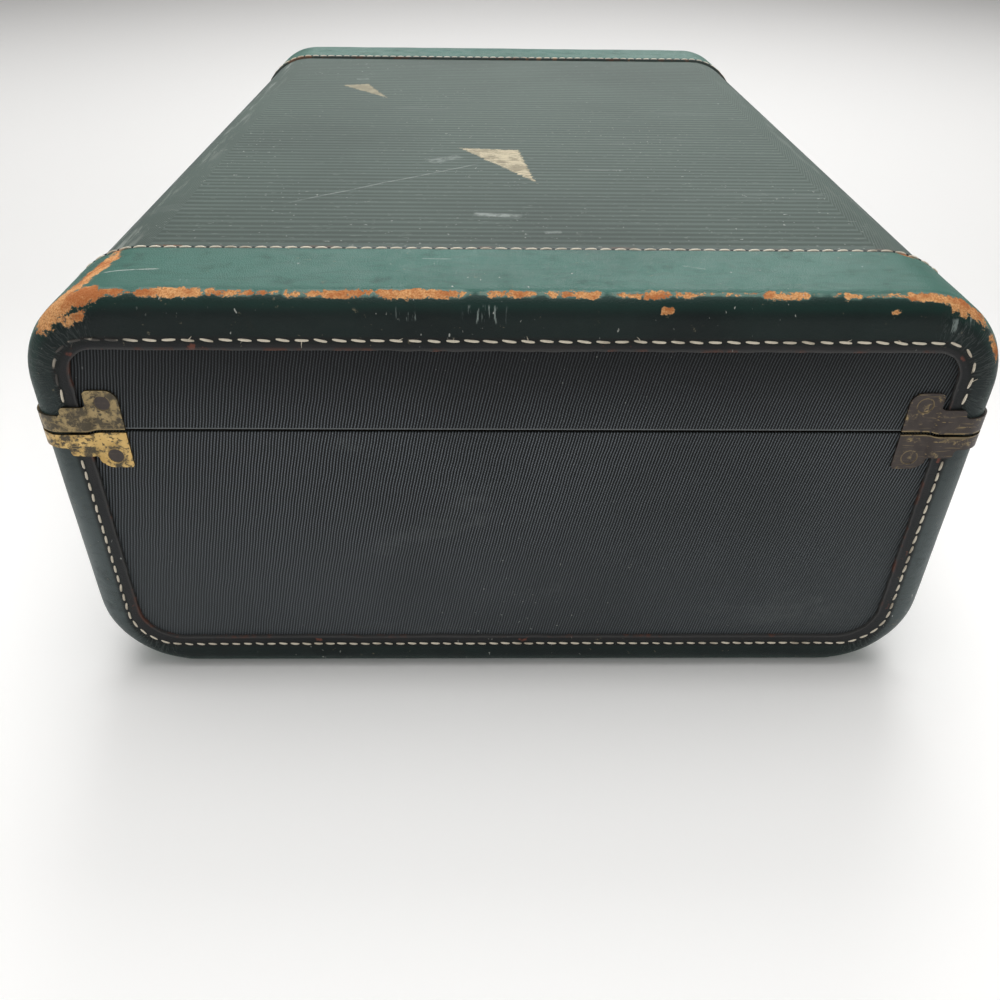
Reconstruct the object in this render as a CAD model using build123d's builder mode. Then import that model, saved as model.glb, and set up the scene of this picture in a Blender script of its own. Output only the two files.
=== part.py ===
"""Leather-bound suitcase: a board box covered in canvas, with metal corners, two slide locks and a handle.

Millimetres, +Z up. X runs across the case, Y along it. The case lies on its base with the lid on top,
and the origin is on the floor under its middle. The hinges are on the -X long side, the locks and the
handle on the +X long side.
"""

import os
from math import asin, cos, degrees, pi, radians, sin

from build123d import *

# Case
case_width = 330.0
case_length = 457.0
parting_height = 114.5  # floor to the middle of the joint between base and lid
lid_wall = 16.2  # straight wall of the lid, from the joint to where its long edges turn
rim_gap = 1.2  # open joint between the two rims
corner_radius = 34.3  # the four long edges
end_roll = 8.5  # the edges round each end

# Wall build-up, from the outside in
leather = 1.6
canvas = 0.8
board = 4.0
lining = 1.0
smallest_round = 0.6

# Leather binding round each end
band_width = 44.5  # how far it runs along the case
window_side = 16.6  # how far it shows on the end face, at the sides
window_top = 19.3
window_bottom = 17.4
window_radius_top = 9.5
window_radius_low = 15.0

# Wooden tongue that stands up from the base and enters the lid
tongue_depth = 18.0
tongue_rise = 8.0
tongue_wall = 3.0
tongue_clearance = 0.6
tongue_chamfer = 1.2
lining_margin = 3.0  # the lid's lining stops this far above the tongue

# Corner plates. The strap goes round the corner, widens to a shoulder and ends in a nailed lug.
plate_thickness = 0.8
lid_strap_height = 6.2
base_strap_height = 5.3
lid_shoulder_height = 9.4
base_shoulder_height = 8.7
shoulder_setback = 10.0  # from the corner to where the strap widens
shoulder_round = 1.5
lug_setback = 19.0  # from the corner to the lug
lug_width = 11.0
lug_margin = 0.4  # the lid's lugs stop this far below the turn of the long edges
base_lug_height = 14.2
lug_full_round = 4.2
lug_tight_round = 1.2
lug_nail_inset = 4.8  # from the tip of the lug
bend_start = 0.2  # past the leather's edge, where the plate starts down to the canvas
bend_length = 4.6
trim_margin = 3.0  # the stamping's waste runs this far past the plate

# Nails: a short shank into the wall, with a domed head or a flat one sunk in a plate
shank_radius = 1.1
shank_depth = 4.0  # below the canvas
shank_clearance = 0.05
dome_radius = 2.2
dome_height = 1.2
sunk_head_radius = 2.7
sunk_head_sink = 0.1  # head below the face of the plate
sunk_recess = 0.45  # depth of the plate's recess for the head
sunk_clearance = 0.1

# Hinges
hinge_spread = 130.0  # from the middle of the case to each hinge
leaf_width = 30.0
leaf_height = 21.0
leaf_thickness = 1.2
leaf_radius = 5.0
leaf_nail_inset = 5.5
leaf_nail_near = 8.0  # joint to the lower nail
knuckle_radius = 2.7
knuckle_count = 5
knuckle_gap = 0.4
hinge_standoff = 0.35  # knuckle to canvas
hinge_pin_radius = 1.5
pin_clearance = 0.05
pin_head_overhang = 0.9
pin_head_height = 0.8
lid_opening = 105.0  # degrees, where the stop fins meet the lower leaves
stop_thickness = 1.8
stop_clearance = 0.35

# Locks
lock_spread = 122.0
lock_plate_width = 62.0
lock_plate_height = 27.0
lock_plate_thickness = 1.0
lock_plate_radius = 5.0
lock_drop = 2.0  # top of the lock plate below the joint
lock_nail_inset = 3.2
housing_width = 50.0
housing_height = 20.0
housing_rise = 3.8
housing_wall = 1.0
housing_radius = 3.0
bolt_drop = 11.0  # bolt line below the joint
bolt_radius = 0.8
bolt_setback = 2.0  # bolt line behind the front of the housing
bolt_overlap = 2.2  # bolt tip past the middle of the staple
slider_start = 3.4  # from the middle of the staple
slider_length = 13.0
slider_height = 8.0
slider_thickness = 1.6
button_offset = 14.0
button_width = 8.0
button_height = 9.0
button_rise = 2.6
button_radius = 2.0
button_edge = 0.8
button_travel = 4.0
thumb_grooves = 3
groove_width = 0.8
groove_depth = 0.5
stem_width = 3.6
slide_clearance = 0.2
spring_thickness = 0.3
spring_width = 3.2
spring_half_height = 2.4
spring_legs = 6
key_radius = 1.5
key_slot_width = 1.3
key_slot_length = 3.6

# Hasps, hinged on the lid
hasp_width = 16.0
hasp_thickness = 1.4
hasp_pivot_rise = 8.0  # pivot above the joint
hasp_reach = 25.5  # pivot to tip
hasp_tip_radius = 6.0
hasp_clearance = 0.3
hasp_lip_radius = 1.1
hasp_knuckle_radius = 2.3
hasp_knuckle_width = 8.0
hasp_pin_radius = 1.1
hasp_plate_width = 34.0
hasp_plate_height = 20.0
hasp_plate_radius = 4.0
hasp_plate_thickness = 1.0
hasp_plate_drop = 3.0  # lower edge of the plate below the pivot
hasp_nail_inset = 4.5
staple_thickness = 2.0
staple_height = 6.4
staple_depth = 4.5
staple_round = 1.0
staple_eye_radius = 1.2
staple_slot_clearance = 0.7

# Handle
handle_drop = 32.5  # pivot below the joint
handle_pivot_out = 6.0  # pivot off the canvas
grip_arc_radius = 55.0
grip_arc_angle = 50.0  # each side of the middle
grip_low = 36.0  # pivot line to the middle of the grip
grip_depth = 10.0  # half size in the plane of the handle
grip_thickness = 6.8  # half size across it
grip_end_depth = 5.6
grip_end_thickness = 4.4
grip_stations = 9
grip_fullness = 0.6
grip_off_canvas = 1.4
ferrule_length = 7.0
ferrule_wall = 0.8
shank_turn = 10.0
handle_shank_radius = 2.1
eye_radius = 3.6
eye_width = 8.0
ear_clearance = 0.25
ear_thickness = 2.0
ear_radius = 4.2
handle_pin_radius = 1.6
handle_plate_width = 24.0
handle_plate_height = 32.0
handle_plate_radius = 6.0
handle_plate_thickness = 1.2
handle_nail_inset = 5.0

# Feet on the hinge side, for standing the case up
foot_radius = 7.0
foot_rise = 8.6
foot_inset = 34.0  # from each end of the case
foot_low = 32.0  # above the floor, for the lower pair
foot_drop = 26.5  # below the joint, for the upper pair

# Packing straps and their buckles
strap_spread = 92.0
strap_width = 22.0
strap_thickness = 1.6
strap_top = 46.0  # where the straps end, above the floor
buckle_width = 33.0
buckle_length = 22.0
buckle_thickness = 2.4
buckle_bar = 3.2
buckle_radius = 4.0
buckle_offset = 40.0  # from the middle, towards the locks
tongue_bar = 1.8

# Gathered pocket in the lid
pocket_length = 372.0
pocket_start = -118.0  # sewn edge, beside the hinges
pocket_end = 34.0  # elastic edge
pocket_fold_count = 11
pocket_low_depth = 4.5
pocket_full_depth = 9.0
pocket_hem_depth = 6.0
pocket_fold_depth = 1.2
pocket_hem_fold = 2.4
hem_width = 11.0
hem_rise = 1.2

# Worked out from the above
case_height = parting_height + lid_wall + corner_radius
half_width = case_width / 2
half_length = case_length / 2
board_face = leather + canvas
inner_face = board_face + board
lined_face = inner_face + lining
canvas_x = half_width - leather
base_rim = parting_height - rim_gap / 2
lid_rim = parting_height + rim_gap / 2
below_floor = -1.0
above_top = case_height + 1.0
lid_lug_height = lid_wall - rim_gap / 2 - lug_margin

hinge_axis_out = hinge_standoff + knuckle_radius
hinge_axis_x = -(canvas_x + hinge_axis_out)
stop_reach = (hinge_axis_out - leaf_thickness - stop_clearance) / -cos(radians(lid_opening))
knuckle_pitch = leaf_width / knuckle_count

housing_out = lock_plate_thickness + housing_rise
hasp_inner = housing_out + hasp_clearance
hasp_outer = hasp_inner + hasp_thickness
hasp_axis_x = canvas_x + hasp_outer - hasp_knuckle_radius
hasp_axis_z = parting_height + hasp_pivot_rise
bolt_z = parting_height - bolt_drop
bolt_x = canvas_x + housing_out - bolt_setback
lock_plate_z = parting_height - lock_drop - lock_plate_height / 2
slider_end = slider_start + slider_length

handle_height = parting_height - handle_drop
handle_axis_x = canvas_x + handle_pivot_out
handle_lean = degrees(asin((grip_off_canvas + grip_thickness - handle_pivot_out) / grip_low))
handle_frame = Plane(
    origin=(handle_axis_x, 0, handle_height),
    x_dir=(0, 1, 0),
    z_dir=(cos(radians(handle_lean)), 0, sin(radians(handle_lean))),
)
grip_end_y = grip_arc_radius * sin(radians(grip_arc_angle))
grip_end_drop = grip_low - grip_arc_radius * (1 - cos(radians(grip_arc_angle)))
shank_start_y = grip_end_y + ferrule_length * cos(radians(grip_arc_angle))
shank_start_drop = grip_end_drop - ferrule_length * sin(radians(grip_arc_angle))
handle_pin_y = shank_start_y + shank_turn * (1 - sin(radians(grip_arc_angle)))

os.makedirs("parts", exist_ok=True)


def case_block(inset):
    """The closed outer form of the case, taken in by the same amount all over."""
    corner = max(corner_radius - inset, smallest_round)
    roll = max(end_roll - inset, smallest_round)
    with BuildPart() as block:
        with BuildSketch(Plane.XZ):
            with Locations((0, case_height / 2)):
                RectangleRounded(case_width - 2 * inset, case_height - 2 * inset, corner)
        extrude(amount=half_length - inset, both=True)
        ends = block.faces().sort_by(Axis.Y)
        fillet(ends[0].edges() + ends[-1].edges(), roll)
    return block.part


def skin(outer_inset, inner_inset, low, high):
    """The wall between two insets of the case, kept between two heights."""
    with BuildPart() as wall:
        add(case_block(outer_inset))
        add(case_block(inner_inset), mode=Mode.SUBTRACT)
        split(bisect_by=Plane.XY.offset(low), keep=Keep.TOP)
        split(bisect_by=Plane.XY.offset(high), keep=Keep.BOTTOM)
    return wall.part


def side_plane(side, out=0.0):
    """Plane on a long side, out from its canvas. Local y is up, and local x is side times Y."""
    return Plane(origin=(side * (canvas_x + out), 0, 0), x_dir=(0, side, 0), z_dir=(side, 0, 0))


def end_plane(end, out=0.0):
    """Plane on an end face, out from its canvas. Local y is up, and local x is minus end times X."""
    return Plane(
        origin=(0, end * (half_length - leather + out), 0), x_dir=(-end, 0, 0), z_dir=(0, end, 0)
    )


def cross_plane(y):
    """Plane across the case at y. Local x is X, local y is Z, and extrusions run towards -Y."""
    return Plane.XZ.offset(-y)


def save(piece, name):
    """Labels a finished piece and writes it."""
    piece.part.label = name
    export_step(piece.part, f"parts/{name}.step")


# Nails. Each is given by its seat, a plane on the canvas with its z outwards at the nail's axis.
def seat(plane, across, up):
    """The plane moved to a place of its own."""
    return Plane(plane.location * Location((across, up, 0)))


def corner_seats(up):
    """Two seats for each of the four corner plates above (1) or below (-1) the joint."""
    lug_height = lid_lug_height if up > 0 else base_lug_height
    height = parting_height + up * (rim_gap / 2 + lug_height - lug_nail_inset)
    setback = lug_setback + lug_width / 2
    seats = []
    for side in (-1, 1):
        for end in (-1, 1):
            seats.append(seat(end_plane(end), -end * side * (half_width - setback), height))
            seats.append(seat(side_plane(side), side * end * (half_length - setback), height))
    return seats


def hinge_seats(up):
    """Three seats on each hinge leaf above or below the joint."""
    across = leaf_width / 2 - leaf_nail_inset
    far_row = parting_height + up * (leaf_height - leaf_nail_inset)
    near_row = parting_height + up * leaf_nail_near
    plane = side_plane(-1)
    seats = []
    for y in (-hinge_spread, hinge_spread):
        seats.append(seat(plane, -y - across, far_row))
        seats.append(seat(plane, -y + across, far_row))
        seats.append(seat(plane, -y, near_row))
    return seats


def lock_seats():
    """One seat at each end of the two lock plates."""
    across = lock_plate_width / 2 - lock_nail_inset
    return [
        seat(side_plane(1), y + hand * across, lock_plate_z)
        for y in (-lock_spread, lock_spread)
        for hand in (-1, 1)
    ]


def hasp_seats():
    """Two seats above the knuckles of each hasp plate."""
    across = hasp_plate_width / 2 - hasp_nail_inset
    row = hasp_axis_z - hasp_plate_drop + hasp_plate_height - hasp_nail_inset
    return [
        seat(side_plane(1), y + hand * across, row)
        for y in (-lock_spread, lock_spread)
        for hand in (-1, 1)
    ]


def handle_seats():
    """Two seats on each handle plate, above and below its ears."""
    rise = handle_plate_height / 2 - handle_nail_inset
    return [
        seat(side_plane(1), y, handle_height + hand * rise)
        for y in (-handle_pin_y, handle_pin_y)
        for hand in (-1, 1)
    ]


def foot_seats():
    """Four seats on the leather of the hinge side."""
    return [
        seat(side_plane(-1), y, z)
        for y in (-half_length + foot_inset, half_length - foot_inset)
        for z in (foot_low, parting_height - foot_drop)
    ]


def drill(seats):
    """Cuts the holes of these nails' shanks in the piece being made."""
    for place in seats:
        with BuildSketch(place, mode=Mode.PRIVATE) as mark:
            Circle(shank_radius + shank_clearance)
        extrude(mark.sketch, amount=shank_depth, both=True, mode=Mode.SUBTRACT)


def turned(place, profile):
    """A solid turned about the seat's axis from corners (radius, height) in a closed chain."""
    with BuildPart() as piece:
        with BuildSketch(Plane(origin=place.origin, x_dir=place.x_dir, z_dir=-place.y_dir)):
            with BuildLine():
                Polyline(*profile, close=True)
            make_face()
        revolve(axis=Axis(place.origin, place.z_dir))
    return piece.part


def domed_nail(place, out, radius, height):
    """Nail or foot with a round head, which sits this far off the canvas."""
    with BuildPart() as piece:
        with BuildSketch(Plane(origin=place.origin, x_dir=place.x_dir, z_dir=-place.y_dir)):
            with BuildLine():
                Polyline(
                    (radius, out),
                    (shank_radius, out),
                    (shank_radius, -shank_depth),
                    (0, -shank_depth),
                    (0, out + height),
                )
                TangentArc((0, out + height), (radius, out), tangent=(1, 0))
            make_face()
        revolve(axis=Axis(place.origin, place.z_dir))
    return piece.part


def save_nails(nails, name):
    """Writes a group of separate nails as one node."""
    with BuildPart() as group:
        for nail in nails:
            add(nail)
    save(group, name)


# The boxes, their covers, their linings and the tongue between them
base_seats = corner_seats(-1) + hinge_seats(-1) + lock_seats() + handle_seats() + foot_seats()
lid_seats = corner_seats(1) + hinge_seats(1) + hasp_seats()

with BuildPart() as base_shell:
    add(skin(board_face, inner_face, below_floor, base_rim))
    drill(base_seats)
save(base_shell, "base_shell")

with BuildPart() as lid_shell:
    add(skin(board_face, inner_face, lid_rim, above_top))
    drill(lid_seats)
save(lid_shell, "lid_shell")

with BuildPart() as base_cover:
    add(skin(leather, board_face, below_floor, base_rim))
    drill(base_seats)
save(base_cover, "base_cover")

with BuildPart() as lid_cover:
    add(skin(leather, board_face, lid_rim, above_top))
    drill(lid_seats)
save(lid_cover, "lid_cover")

with BuildPart() as base_lining:
    add(skin(inner_face, lined_face, below_floor, parting_height - tongue_depth))
save(base_lining, "base_lining")

with BuildPart() as lid_lining:
    add(skin(inner_face, lined_face, lid_rim + tongue_rise + lining_margin, above_top))
save(lid_lining, "lid_lining")

with BuildPart() as rim_tongue:
    add(skin(inner_face, inner_face + tongue_wall, parting_height - tongue_depth, base_rim))
    clear_face = inner_face + tongue_clearance
    add(skin(clear_face, inner_face + tongue_wall, base_rim, parting_height + tongue_rise))
    tongue_top = rim_tongue.faces().sort_by(Axis.Z)[-1]
    chamfer(tongue_top.outer_wire().edges(), tongue_chamfer)
save(rim_tongue, "rim_tongue")


def binding(end, low, high, seats):
    """Leather round one end of the base or the lid, with its window on the end face."""
    with BuildPart() as leather_end:
        add(skin(0, leather, low, high))
        with BuildSketch(end_plane(end, -leather)) as window:
            with Locations((0, (case_height + window_bottom - window_top) / 2)):
                Rectangle(case_width - 2 * window_side, case_height - window_bottom - window_top)
            fillet(window.vertices().group_by(Axis.Y)[-1], window_radius_top)
            fillet(window.vertices().group_by(Axis.Y)[0], window_radius_low)
        extrude(amount=3 * leather, mode=Mode.SUBTRACT)
        edge = end * (half_length - band_width)
        split(bisect_by=cross_plane(edge), keep=Keep.TOP if end < 0 else Keep.BOTTOM)
        drill(seats)
    return leather_end


for end, place in ((-1, "near"), (1, "far")):
    save(binding(end, below_floor, base_rim, base_seats), f"base_binding_{place}")
    save(binding(end, lid_rim, above_top, lid_seats), f"lid_binding_{place}")


# Corner plates and their nails
def plate_outline(plane, up):
    """What is stamped away from a plate's blank: above the strap, the shoulder and the lug, and past it.

    On the plane, x runs from the corner of the case towards the lug, and y from the rim to the lug's tip.
    """
    strap = lid_strap_height if up > 0 else base_strap_height
    shoulder = lid_shoulder_height if up > 0 else base_shoulder_height
    tip = lid_lug_height if up > 0 else base_lug_height
    corner_side_round = lug_tight_round if up > 0 else lug_full_round
    window_side_round = lug_full_round if up > 0 else lug_tight_round
    lug_end = lug_setback + lug_width
    with BuildSketch(plane, mode=Mode.PRIVATE) as waste:
        with BuildLine():
            edge = FilletPolyline(
                (-trim_margin, strap),
                (shoulder_setback, strap),
                (shoulder_setback, shoulder),
                (lug_setback, shoulder),
                (lug_setback, tip),
                (lug_end, tip),
                (lug_end, -trim_margin),
                radius=[
                    shoulder_round,
                    shoulder_round,
                    lug_tight_round,
                    corner_side_round,
                    window_side_round,
                ],
            )
            Polyline(
                edge @ 1,
                (lug_end + trim_margin, -trim_margin),
                (lug_end + trim_margin, tip + trim_margin),
                (-trim_margin, tip + trim_margin),
                edge @ 0,
            )
        make_face()
    return waste.sketch


def corner_plate(side, end, up):
    """Metal plate round one corner, above (1) or below (-1) the joint, bent down past the leather's edge."""
    rim = parting_height + up * rim_gap / 2
    tip = lid_lug_height if up > 0 else base_lug_height
    lug_end = lug_setback + lug_width
    bend = window_side + bend_start

    def plan(inward, out):
        """A point of the plate in plan: how far in from the corner, and how far off the canvas."""
        return (side * (half_width - inward), end * (half_length - leather + out))

    with BuildPart() as plate:
        with BuildSketch(Plane.XY.offset(rim)):
            RectangleRounded(
                case_width + 2 * plate_thickness,
                case_length + 2 * plate_thickness,
                end_roll + plate_thickness,
            )
            RectangleRounded(case_width, case_length, end_roll, mode=Mode.SUBTRACT)
            with Locations((side * half_width, end * half_length)):
                Rectangle(2 * window_side, 2 * lug_end, mode=Mode.INTERSECT)
            with BuildLine():
                for low in (0, plate_thickness):
                    middle = plan(bend + bend_length / 2, leather / 2 + low)
                    foot = plan(bend + bend_length, low)
                    Line(plan(window_side, leather + low), plan(bend, leather + low))
                    fall = TangentArc(plan(bend, leather + low), middle, tangent=(-side, 0))
                    TangentArc(middle, foot, tangent=fall % 1)
                    Line(foot, plan(lug_end, low))
                Line(plan(window_side, leather), plan(window_side, leather + plate_thickness))
                Line(plan(lug_end, 0), plan(lug_end, plate_thickness))
            make_face()
        extrude(amount=up * tip)
        corner_y = end * half_length
        end_trim = Plane(
            origin=(side * half_width, corner_y, rim), x_dir=(-side, 0, 0), z_dir=(0, side * up, 0)
        )
        extrude(plate_outline(end_trim, up), amount=end_roll, both=True, mode=Mode.SUBTRACT)
        side_trim = Plane(
            origin=(side * half_width, corner_y, rim), x_dir=(0, -end, 0), z_dir=(-end * up, 0, 0)
        )
        extrude(plate_outline(side_trim, up), amount=end_roll, both=True, mode=Mode.SUBTRACT)
        drill(corner_seats(up))
        for index, place in enumerate(corner_seats(up)):
            floor = nail_out(index) + plate_thickness - sunk_recess
            with BuildSketch(place.offset(floor), mode=Mode.PRIVATE) as recess:
                Circle(sunk_head_radius + sunk_clearance)
            extrude(recess.sketch, amount=plate_thickness, mode=Mode.SUBTRACT)
    return plate


def nail_out(index):
    """How far a corner seat's plate stands off the canvas: every second seat is on leather."""
    return leather if index % 2 == 1 else 0.0


def sunk_nail(place, out):
    """Nail with a flat head that sits in the recess of a plate this far off the canvas."""
    floor = out + plate_thickness - sunk_recess
    top = out + plate_thickness - sunk_head_sink
    return turned(
        place,
        [
            (0, -shank_depth),
            (shank_radius, -shank_depth),
            (shank_radius, floor),
            (sunk_head_radius, floor),
            (sunk_head_radius, top),
            (0, top),
        ],
    )


for up, half in ((-1, "base"), (1, "lid")):
    for side, hand in ((-1, "left"), (1, "right")):
        for end, place in ((-1, "near"), (1, "far")):
            save(corner_plate(side, end, up), f"{half}_corner_plate_{place}_{hand}")
    nails = [sunk_nail(place, nail_out(index)) for index, place in enumerate(corner_seats(up))]
    save_nails(nails, f"{half}_corner_nails")


# Hinges: three knuckles on the base's leaf and two on the lid's, round one pin
def hinge_leaf(y, up):
    """One leaf at y. The lid's has a stop fin on each of its knuckles."""
    first = 0 if up < 0 else 1
    low_end = y - leaf_width / 2
    middle = parting_height + up * (rim_gap + leaf_height) / 2
    with BuildPart() as leaf:
        with BuildSketch(side_plane(-1)) as outline:
            with Locations((-y, middle)):
                Rectangle(leaf_width, leaf_height)
            fillet(outline.vertices().group_by(Axis.Y)[-1 if up > 0 else 0], leaf_radius)
        extrude(amount=leaf_thickness)
        for index in range(knuckle_count):
            own = index % 2 == first
            grow = 0.0 if own else knuckle_gap
            high = low_end + (index + 1) * knuckle_pitch - knuckle_gap / 2 + grow
            with BuildSketch(cross_plane(high)):
                with Locations((hinge_axis_x, parting_height)):
                    Circle(knuckle_radius + grow)
                    if own and up > 0:
                        with Locations((-stop_reach / 2, stop_thickness / 2)):
                            Rectangle(stop_reach, stop_thickness)
            extrude(
                amount=knuckle_pitch - knuckle_gap + 2 * grow,
                mode=Mode.ADD if own else Mode.SUBTRACT,
            )
        with BuildSketch(cross_plane(y)):
            with Locations((hinge_axis_x, parting_height)):
                Circle(hinge_pin_radius + pin_clearance)
        extrude(amount=leaf_width, both=True, mode=Mode.SUBTRACT)
        drill(hinge_seats(up))
    return leaf


def headed_pin(radius, length, x, y, z):
    """A pin along Y with a head at each end, outside its length."""
    with BuildPart() as pin:
        with BuildSketch(cross_plane(y)):
            with Locations((x, z)):
                Circle(radius)
        extrude(amount=length / 2, both=True)
        for high in (y - length / 2, y + length / 2 + pin_head_height):
            with BuildSketch(cross_plane(high)):
                with Locations((x, z)):
                    Circle(radius + pin_head_overhang)
            extrude(amount=pin_head_height)
    return pin


for y, place in ((-hinge_spread, "near"), (hinge_spread, "far")):
    save(hinge_leaf(y, -1), f"hinge_base_leaf_{place}")
    save(hinge_leaf(y, 1), f"hinge_lid_leaf_{place}")
    pin = headed_pin(hinge_pin_radius, leaf_width, hinge_axis_x, y, parting_height)
    save(pin, f"hinge_pin_{place}")

for up, half in ((-1, "base"), (1, "lid")):
    nails = [domed_nail(place, leaf_thickness, dome_radius, dome_height) for place in hinge_seats(up)]
    save_nails(nails, f"hinge_{half}_nails")


# Locks. The button stands beside the hasp, towards the end of the case.
def lock_case(y, away):
    """Stamped plate with a hollow housing, slotted for the staple, the button and the key."""
    slot_y = y + away * (button_offset + button_travel / 2)
    key_y = y - away * button_offset
    with BuildPart() as case:
        with BuildSketch(side_plane(1)):
            with Locations((y, lock_plate_z)):
                RectangleRounded(lock_plate_width, lock_plate_height, lock_plate_radius)
        extrude(amount=lock_plate_thickness)
        with BuildSketch(side_plane(1)):
            with Locations((y, lock_plate_z)):
                RectangleRounded(housing_width, housing_height, housing_radius)
        extrude(amount=housing_out)
        fillet(case.faces().sort_by(Axis.X)[-1].edges(), housing_wall)
        with BuildSketch(side_plane(1)):
            with Locations((y, lock_plate_z)):
                RectangleRounded(
                    housing_width - 2 * housing_wall,
                    housing_height - 2 * housing_wall,
                    housing_radius - housing_wall,
                )
        extrude(amount=housing_out - housing_wall, mode=Mode.SUBTRACT)
        with BuildSketch(side_plane(1, housing_out)):
            with Locations((y, bolt_z)):
                Rectangle(
                    staple_thickness + 2 * staple_slot_clearance,
                    staple_height + 2 * staple_slot_clearance,
                )
            with Locations((slot_y, bolt_z)):
                Rectangle(
                    stem_width + button_travel + 2 * slide_clearance,
                    stem_width + 2 * slide_clearance,
                )
            with Locations((key_y, bolt_z)):
                Circle(key_radius)
            with Locations((key_y, bolt_z - key_slot_length / 2)):
                Rectangle(key_slot_width, key_slot_length)
        extrude(amount=-2 * housing_wall, mode=Mode.SUBTRACT)
        drill(lock_seats())
    return case


def lock_button(y, away):
    """Ribbed button with its stem, the slider behind it and the round bolt that holds the staple."""
    slider_out = housing_out - housing_wall - slide_clearance
    slider_middle = y + away * (slider_start + slider_length / 2)
    button_y = y + away * button_offset
    bolt_length = bolt_overlap + slider_start
    bolt_high = y + (slider_start if away > 0 else bolt_overlap)
    with BuildPart() as button:
        with BuildSketch(side_plane(1, slider_out)):
            with Locations((slider_middle, bolt_z)):
                Rectangle(slider_length, slider_height)
        extrude(amount=-slider_thickness)
        with BuildSketch(cross_plane(bolt_high)):
            with Locations((bolt_x, bolt_z)):
                Circle(bolt_radius)
        extrude(amount=bolt_length)
        with BuildSketch(side_plane(1, slider_out)):
            with Locations((button_y, bolt_z)):
                Rectangle(stem_width, stem_width)
        extrude(amount=housing_wall + 2 * slide_clearance)
        with BuildSketch(side_plane(1, housing_out + slide_clearance)):
            with Locations((button_y, bolt_z)):
                RectangleRounded(button_width, button_height, button_radius)
        extrude(amount=button_rise)
        fillet(button.faces().sort_by(Axis.X)[-1].edges(), button_edge)
        with BuildSketch(side_plane(1, housing_out + slide_clearance + button_rise)):
            with Locations((button_y, bolt_z)):
                with GridLocations(button_width / (thumb_grooves + 1), 1, thumb_grooves, 1):
                    Rectangle(groove_width, button_height)
        extrude(amount=-groove_depth, mode=Mode.SUBTRACT)
    return button


def lock_spring(y, away):
    """Folded flat spring between the slider's tail and the end of the housing."""
    tail = y + away * (slider_end + slide_clearance + spring_thickness)
    stop = y + away * (housing_width / 2 - housing_wall - slide_clearance - spring_thickness)
    points = []
    for index in range(spring_legs + 1):
        z = bolt_z + spring_half_height * (1 if index % 2 else -1)
        points.append((tail + (stop - tail) * index / spring_legs, z))
    with BuildPart() as spring:
        with BuildSketch(side_plane(1, slide_clearance)):
            with BuildLine():
                Polyline(*points)
            trace(line_width=spring_thickness)
        extrude(amount=spring_width)
    return spring


def hasp_plate(y):
    """Plate on the lid with a knuckle each side of the hasp's own."""
    knuckle = (hasp_width - hasp_knuckle_width) / 2 - slide_clearance
    middle = hasp_axis_z - hasp_plate_drop + hasp_plate_height / 2
    web = hasp_axis_x - canvas_x
    with BuildPart() as plate:
        with BuildSketch(side_plane(1)):
            with Locations((y, middle)):
                RectangleRounded(hasp_plate_width, hasp_plate_height, hasp_plate_radius)
        extrude(amount=hasp_plate_thickness)
        for high in (y + hasp_width / 2, y - hasp_knuckle_width / 2 - slide_clearance):
            with BuildSketch(cross_plane(high)):
                with Locations((hasp_axis_x, hasp_axis_z)):
                    Circle(hasp_knuckle_radius)
                with Locations((hasp_axis_x - web / 2, hasp_axis_z)):
                    Rectangle(web, 2 * hasp_knuckle_radius - hasp_thickness)
            extrude(amount=knuckle)
        with BuildSketch(cross_plane(y)):
            with Locations((hasp_axis_x, hasp_axis_z)):
                Circle(hasp_pin_radius + pin_clearance)
        extrude(amount=hasp_width, both=True, mode=Mode.SUBTRACT)
        drill(hasp_seats())
    return plate


def hasp(y):
    """Swinging hasp: knuckle, plate with a rounded tip and thumb lip, and the staple behind it."""
    tip = hasp_axis_z - hasp_reach
    relief = (hasp_width - hasp_knuckle_width) / 2
    with BuildPart() as flap:
        with BuildSketch(side_plane(1, hasp_inner)) as outline:
            with Locations((y, (hasp_axis_z + tip) / 2)):
                Rectangle(hasp_width, hasp_reach)
            fillet(outline.vertices().group_by(Axis.Y)[0], hasp_tip_radius)
        extrude(amount=hasp_thickness)
        with BuildSketch(cross_plane(y + hasp_width / 4)):
            with Locations((canvas_x + hasp_outer, tip + hasp_lip_radius)):
                Circle(hasp_lip_radius)
        extrude(amount=hasp_width / 2)
        # clear of the plate's knuckles, and its own between them
        for high in (y + hasp_width / 2, y - hasp_knuckle_width / 2):
            with BuildSketch(cross_plane(high)):
                with Locations((hasp_axis_x, hasp_axis_z)):
                    Circle(hasp_knuckle_radius + hasp_clearance)
            extrude(amount=relief, mode=Mode.SUBTRACT)
        with BuildSketch(cross_plane(y + hasp_knuckle_width / 2)):
            with Locations((hasp_axis_x, hasp_axis_z)):
                Circle(hasp_knuckle_radius)
        extrude(amount=hasp_knuckle_width)
        with BuildSketch(cross_plane(y)):
            with Locations((hasp_axis_x, hasp_axis_z)):
                Circle(hasp_pin_radius + pin_clearance)
        extrude(amount=hasp_width, both=True, mode=Mode.SUBTRACT)
        with BuildSketch(cross_plane(y + staple_thickness / 2)) as staple:
            with Locations((canvas_x + hasp_inner - staple_depth / 2, bolt_z)):
                Rectangle(staple_depth, staple_height)
            fillet(staple.vertices().group_by(Axis.X)[0], staple_round)
            with Locations((bolt_x, bolt_z)):
                Circle(staple_eye_radius, mode=Mode.SUBTRACT)
        extrude(amount=staple_thickness)
    return flap


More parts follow.
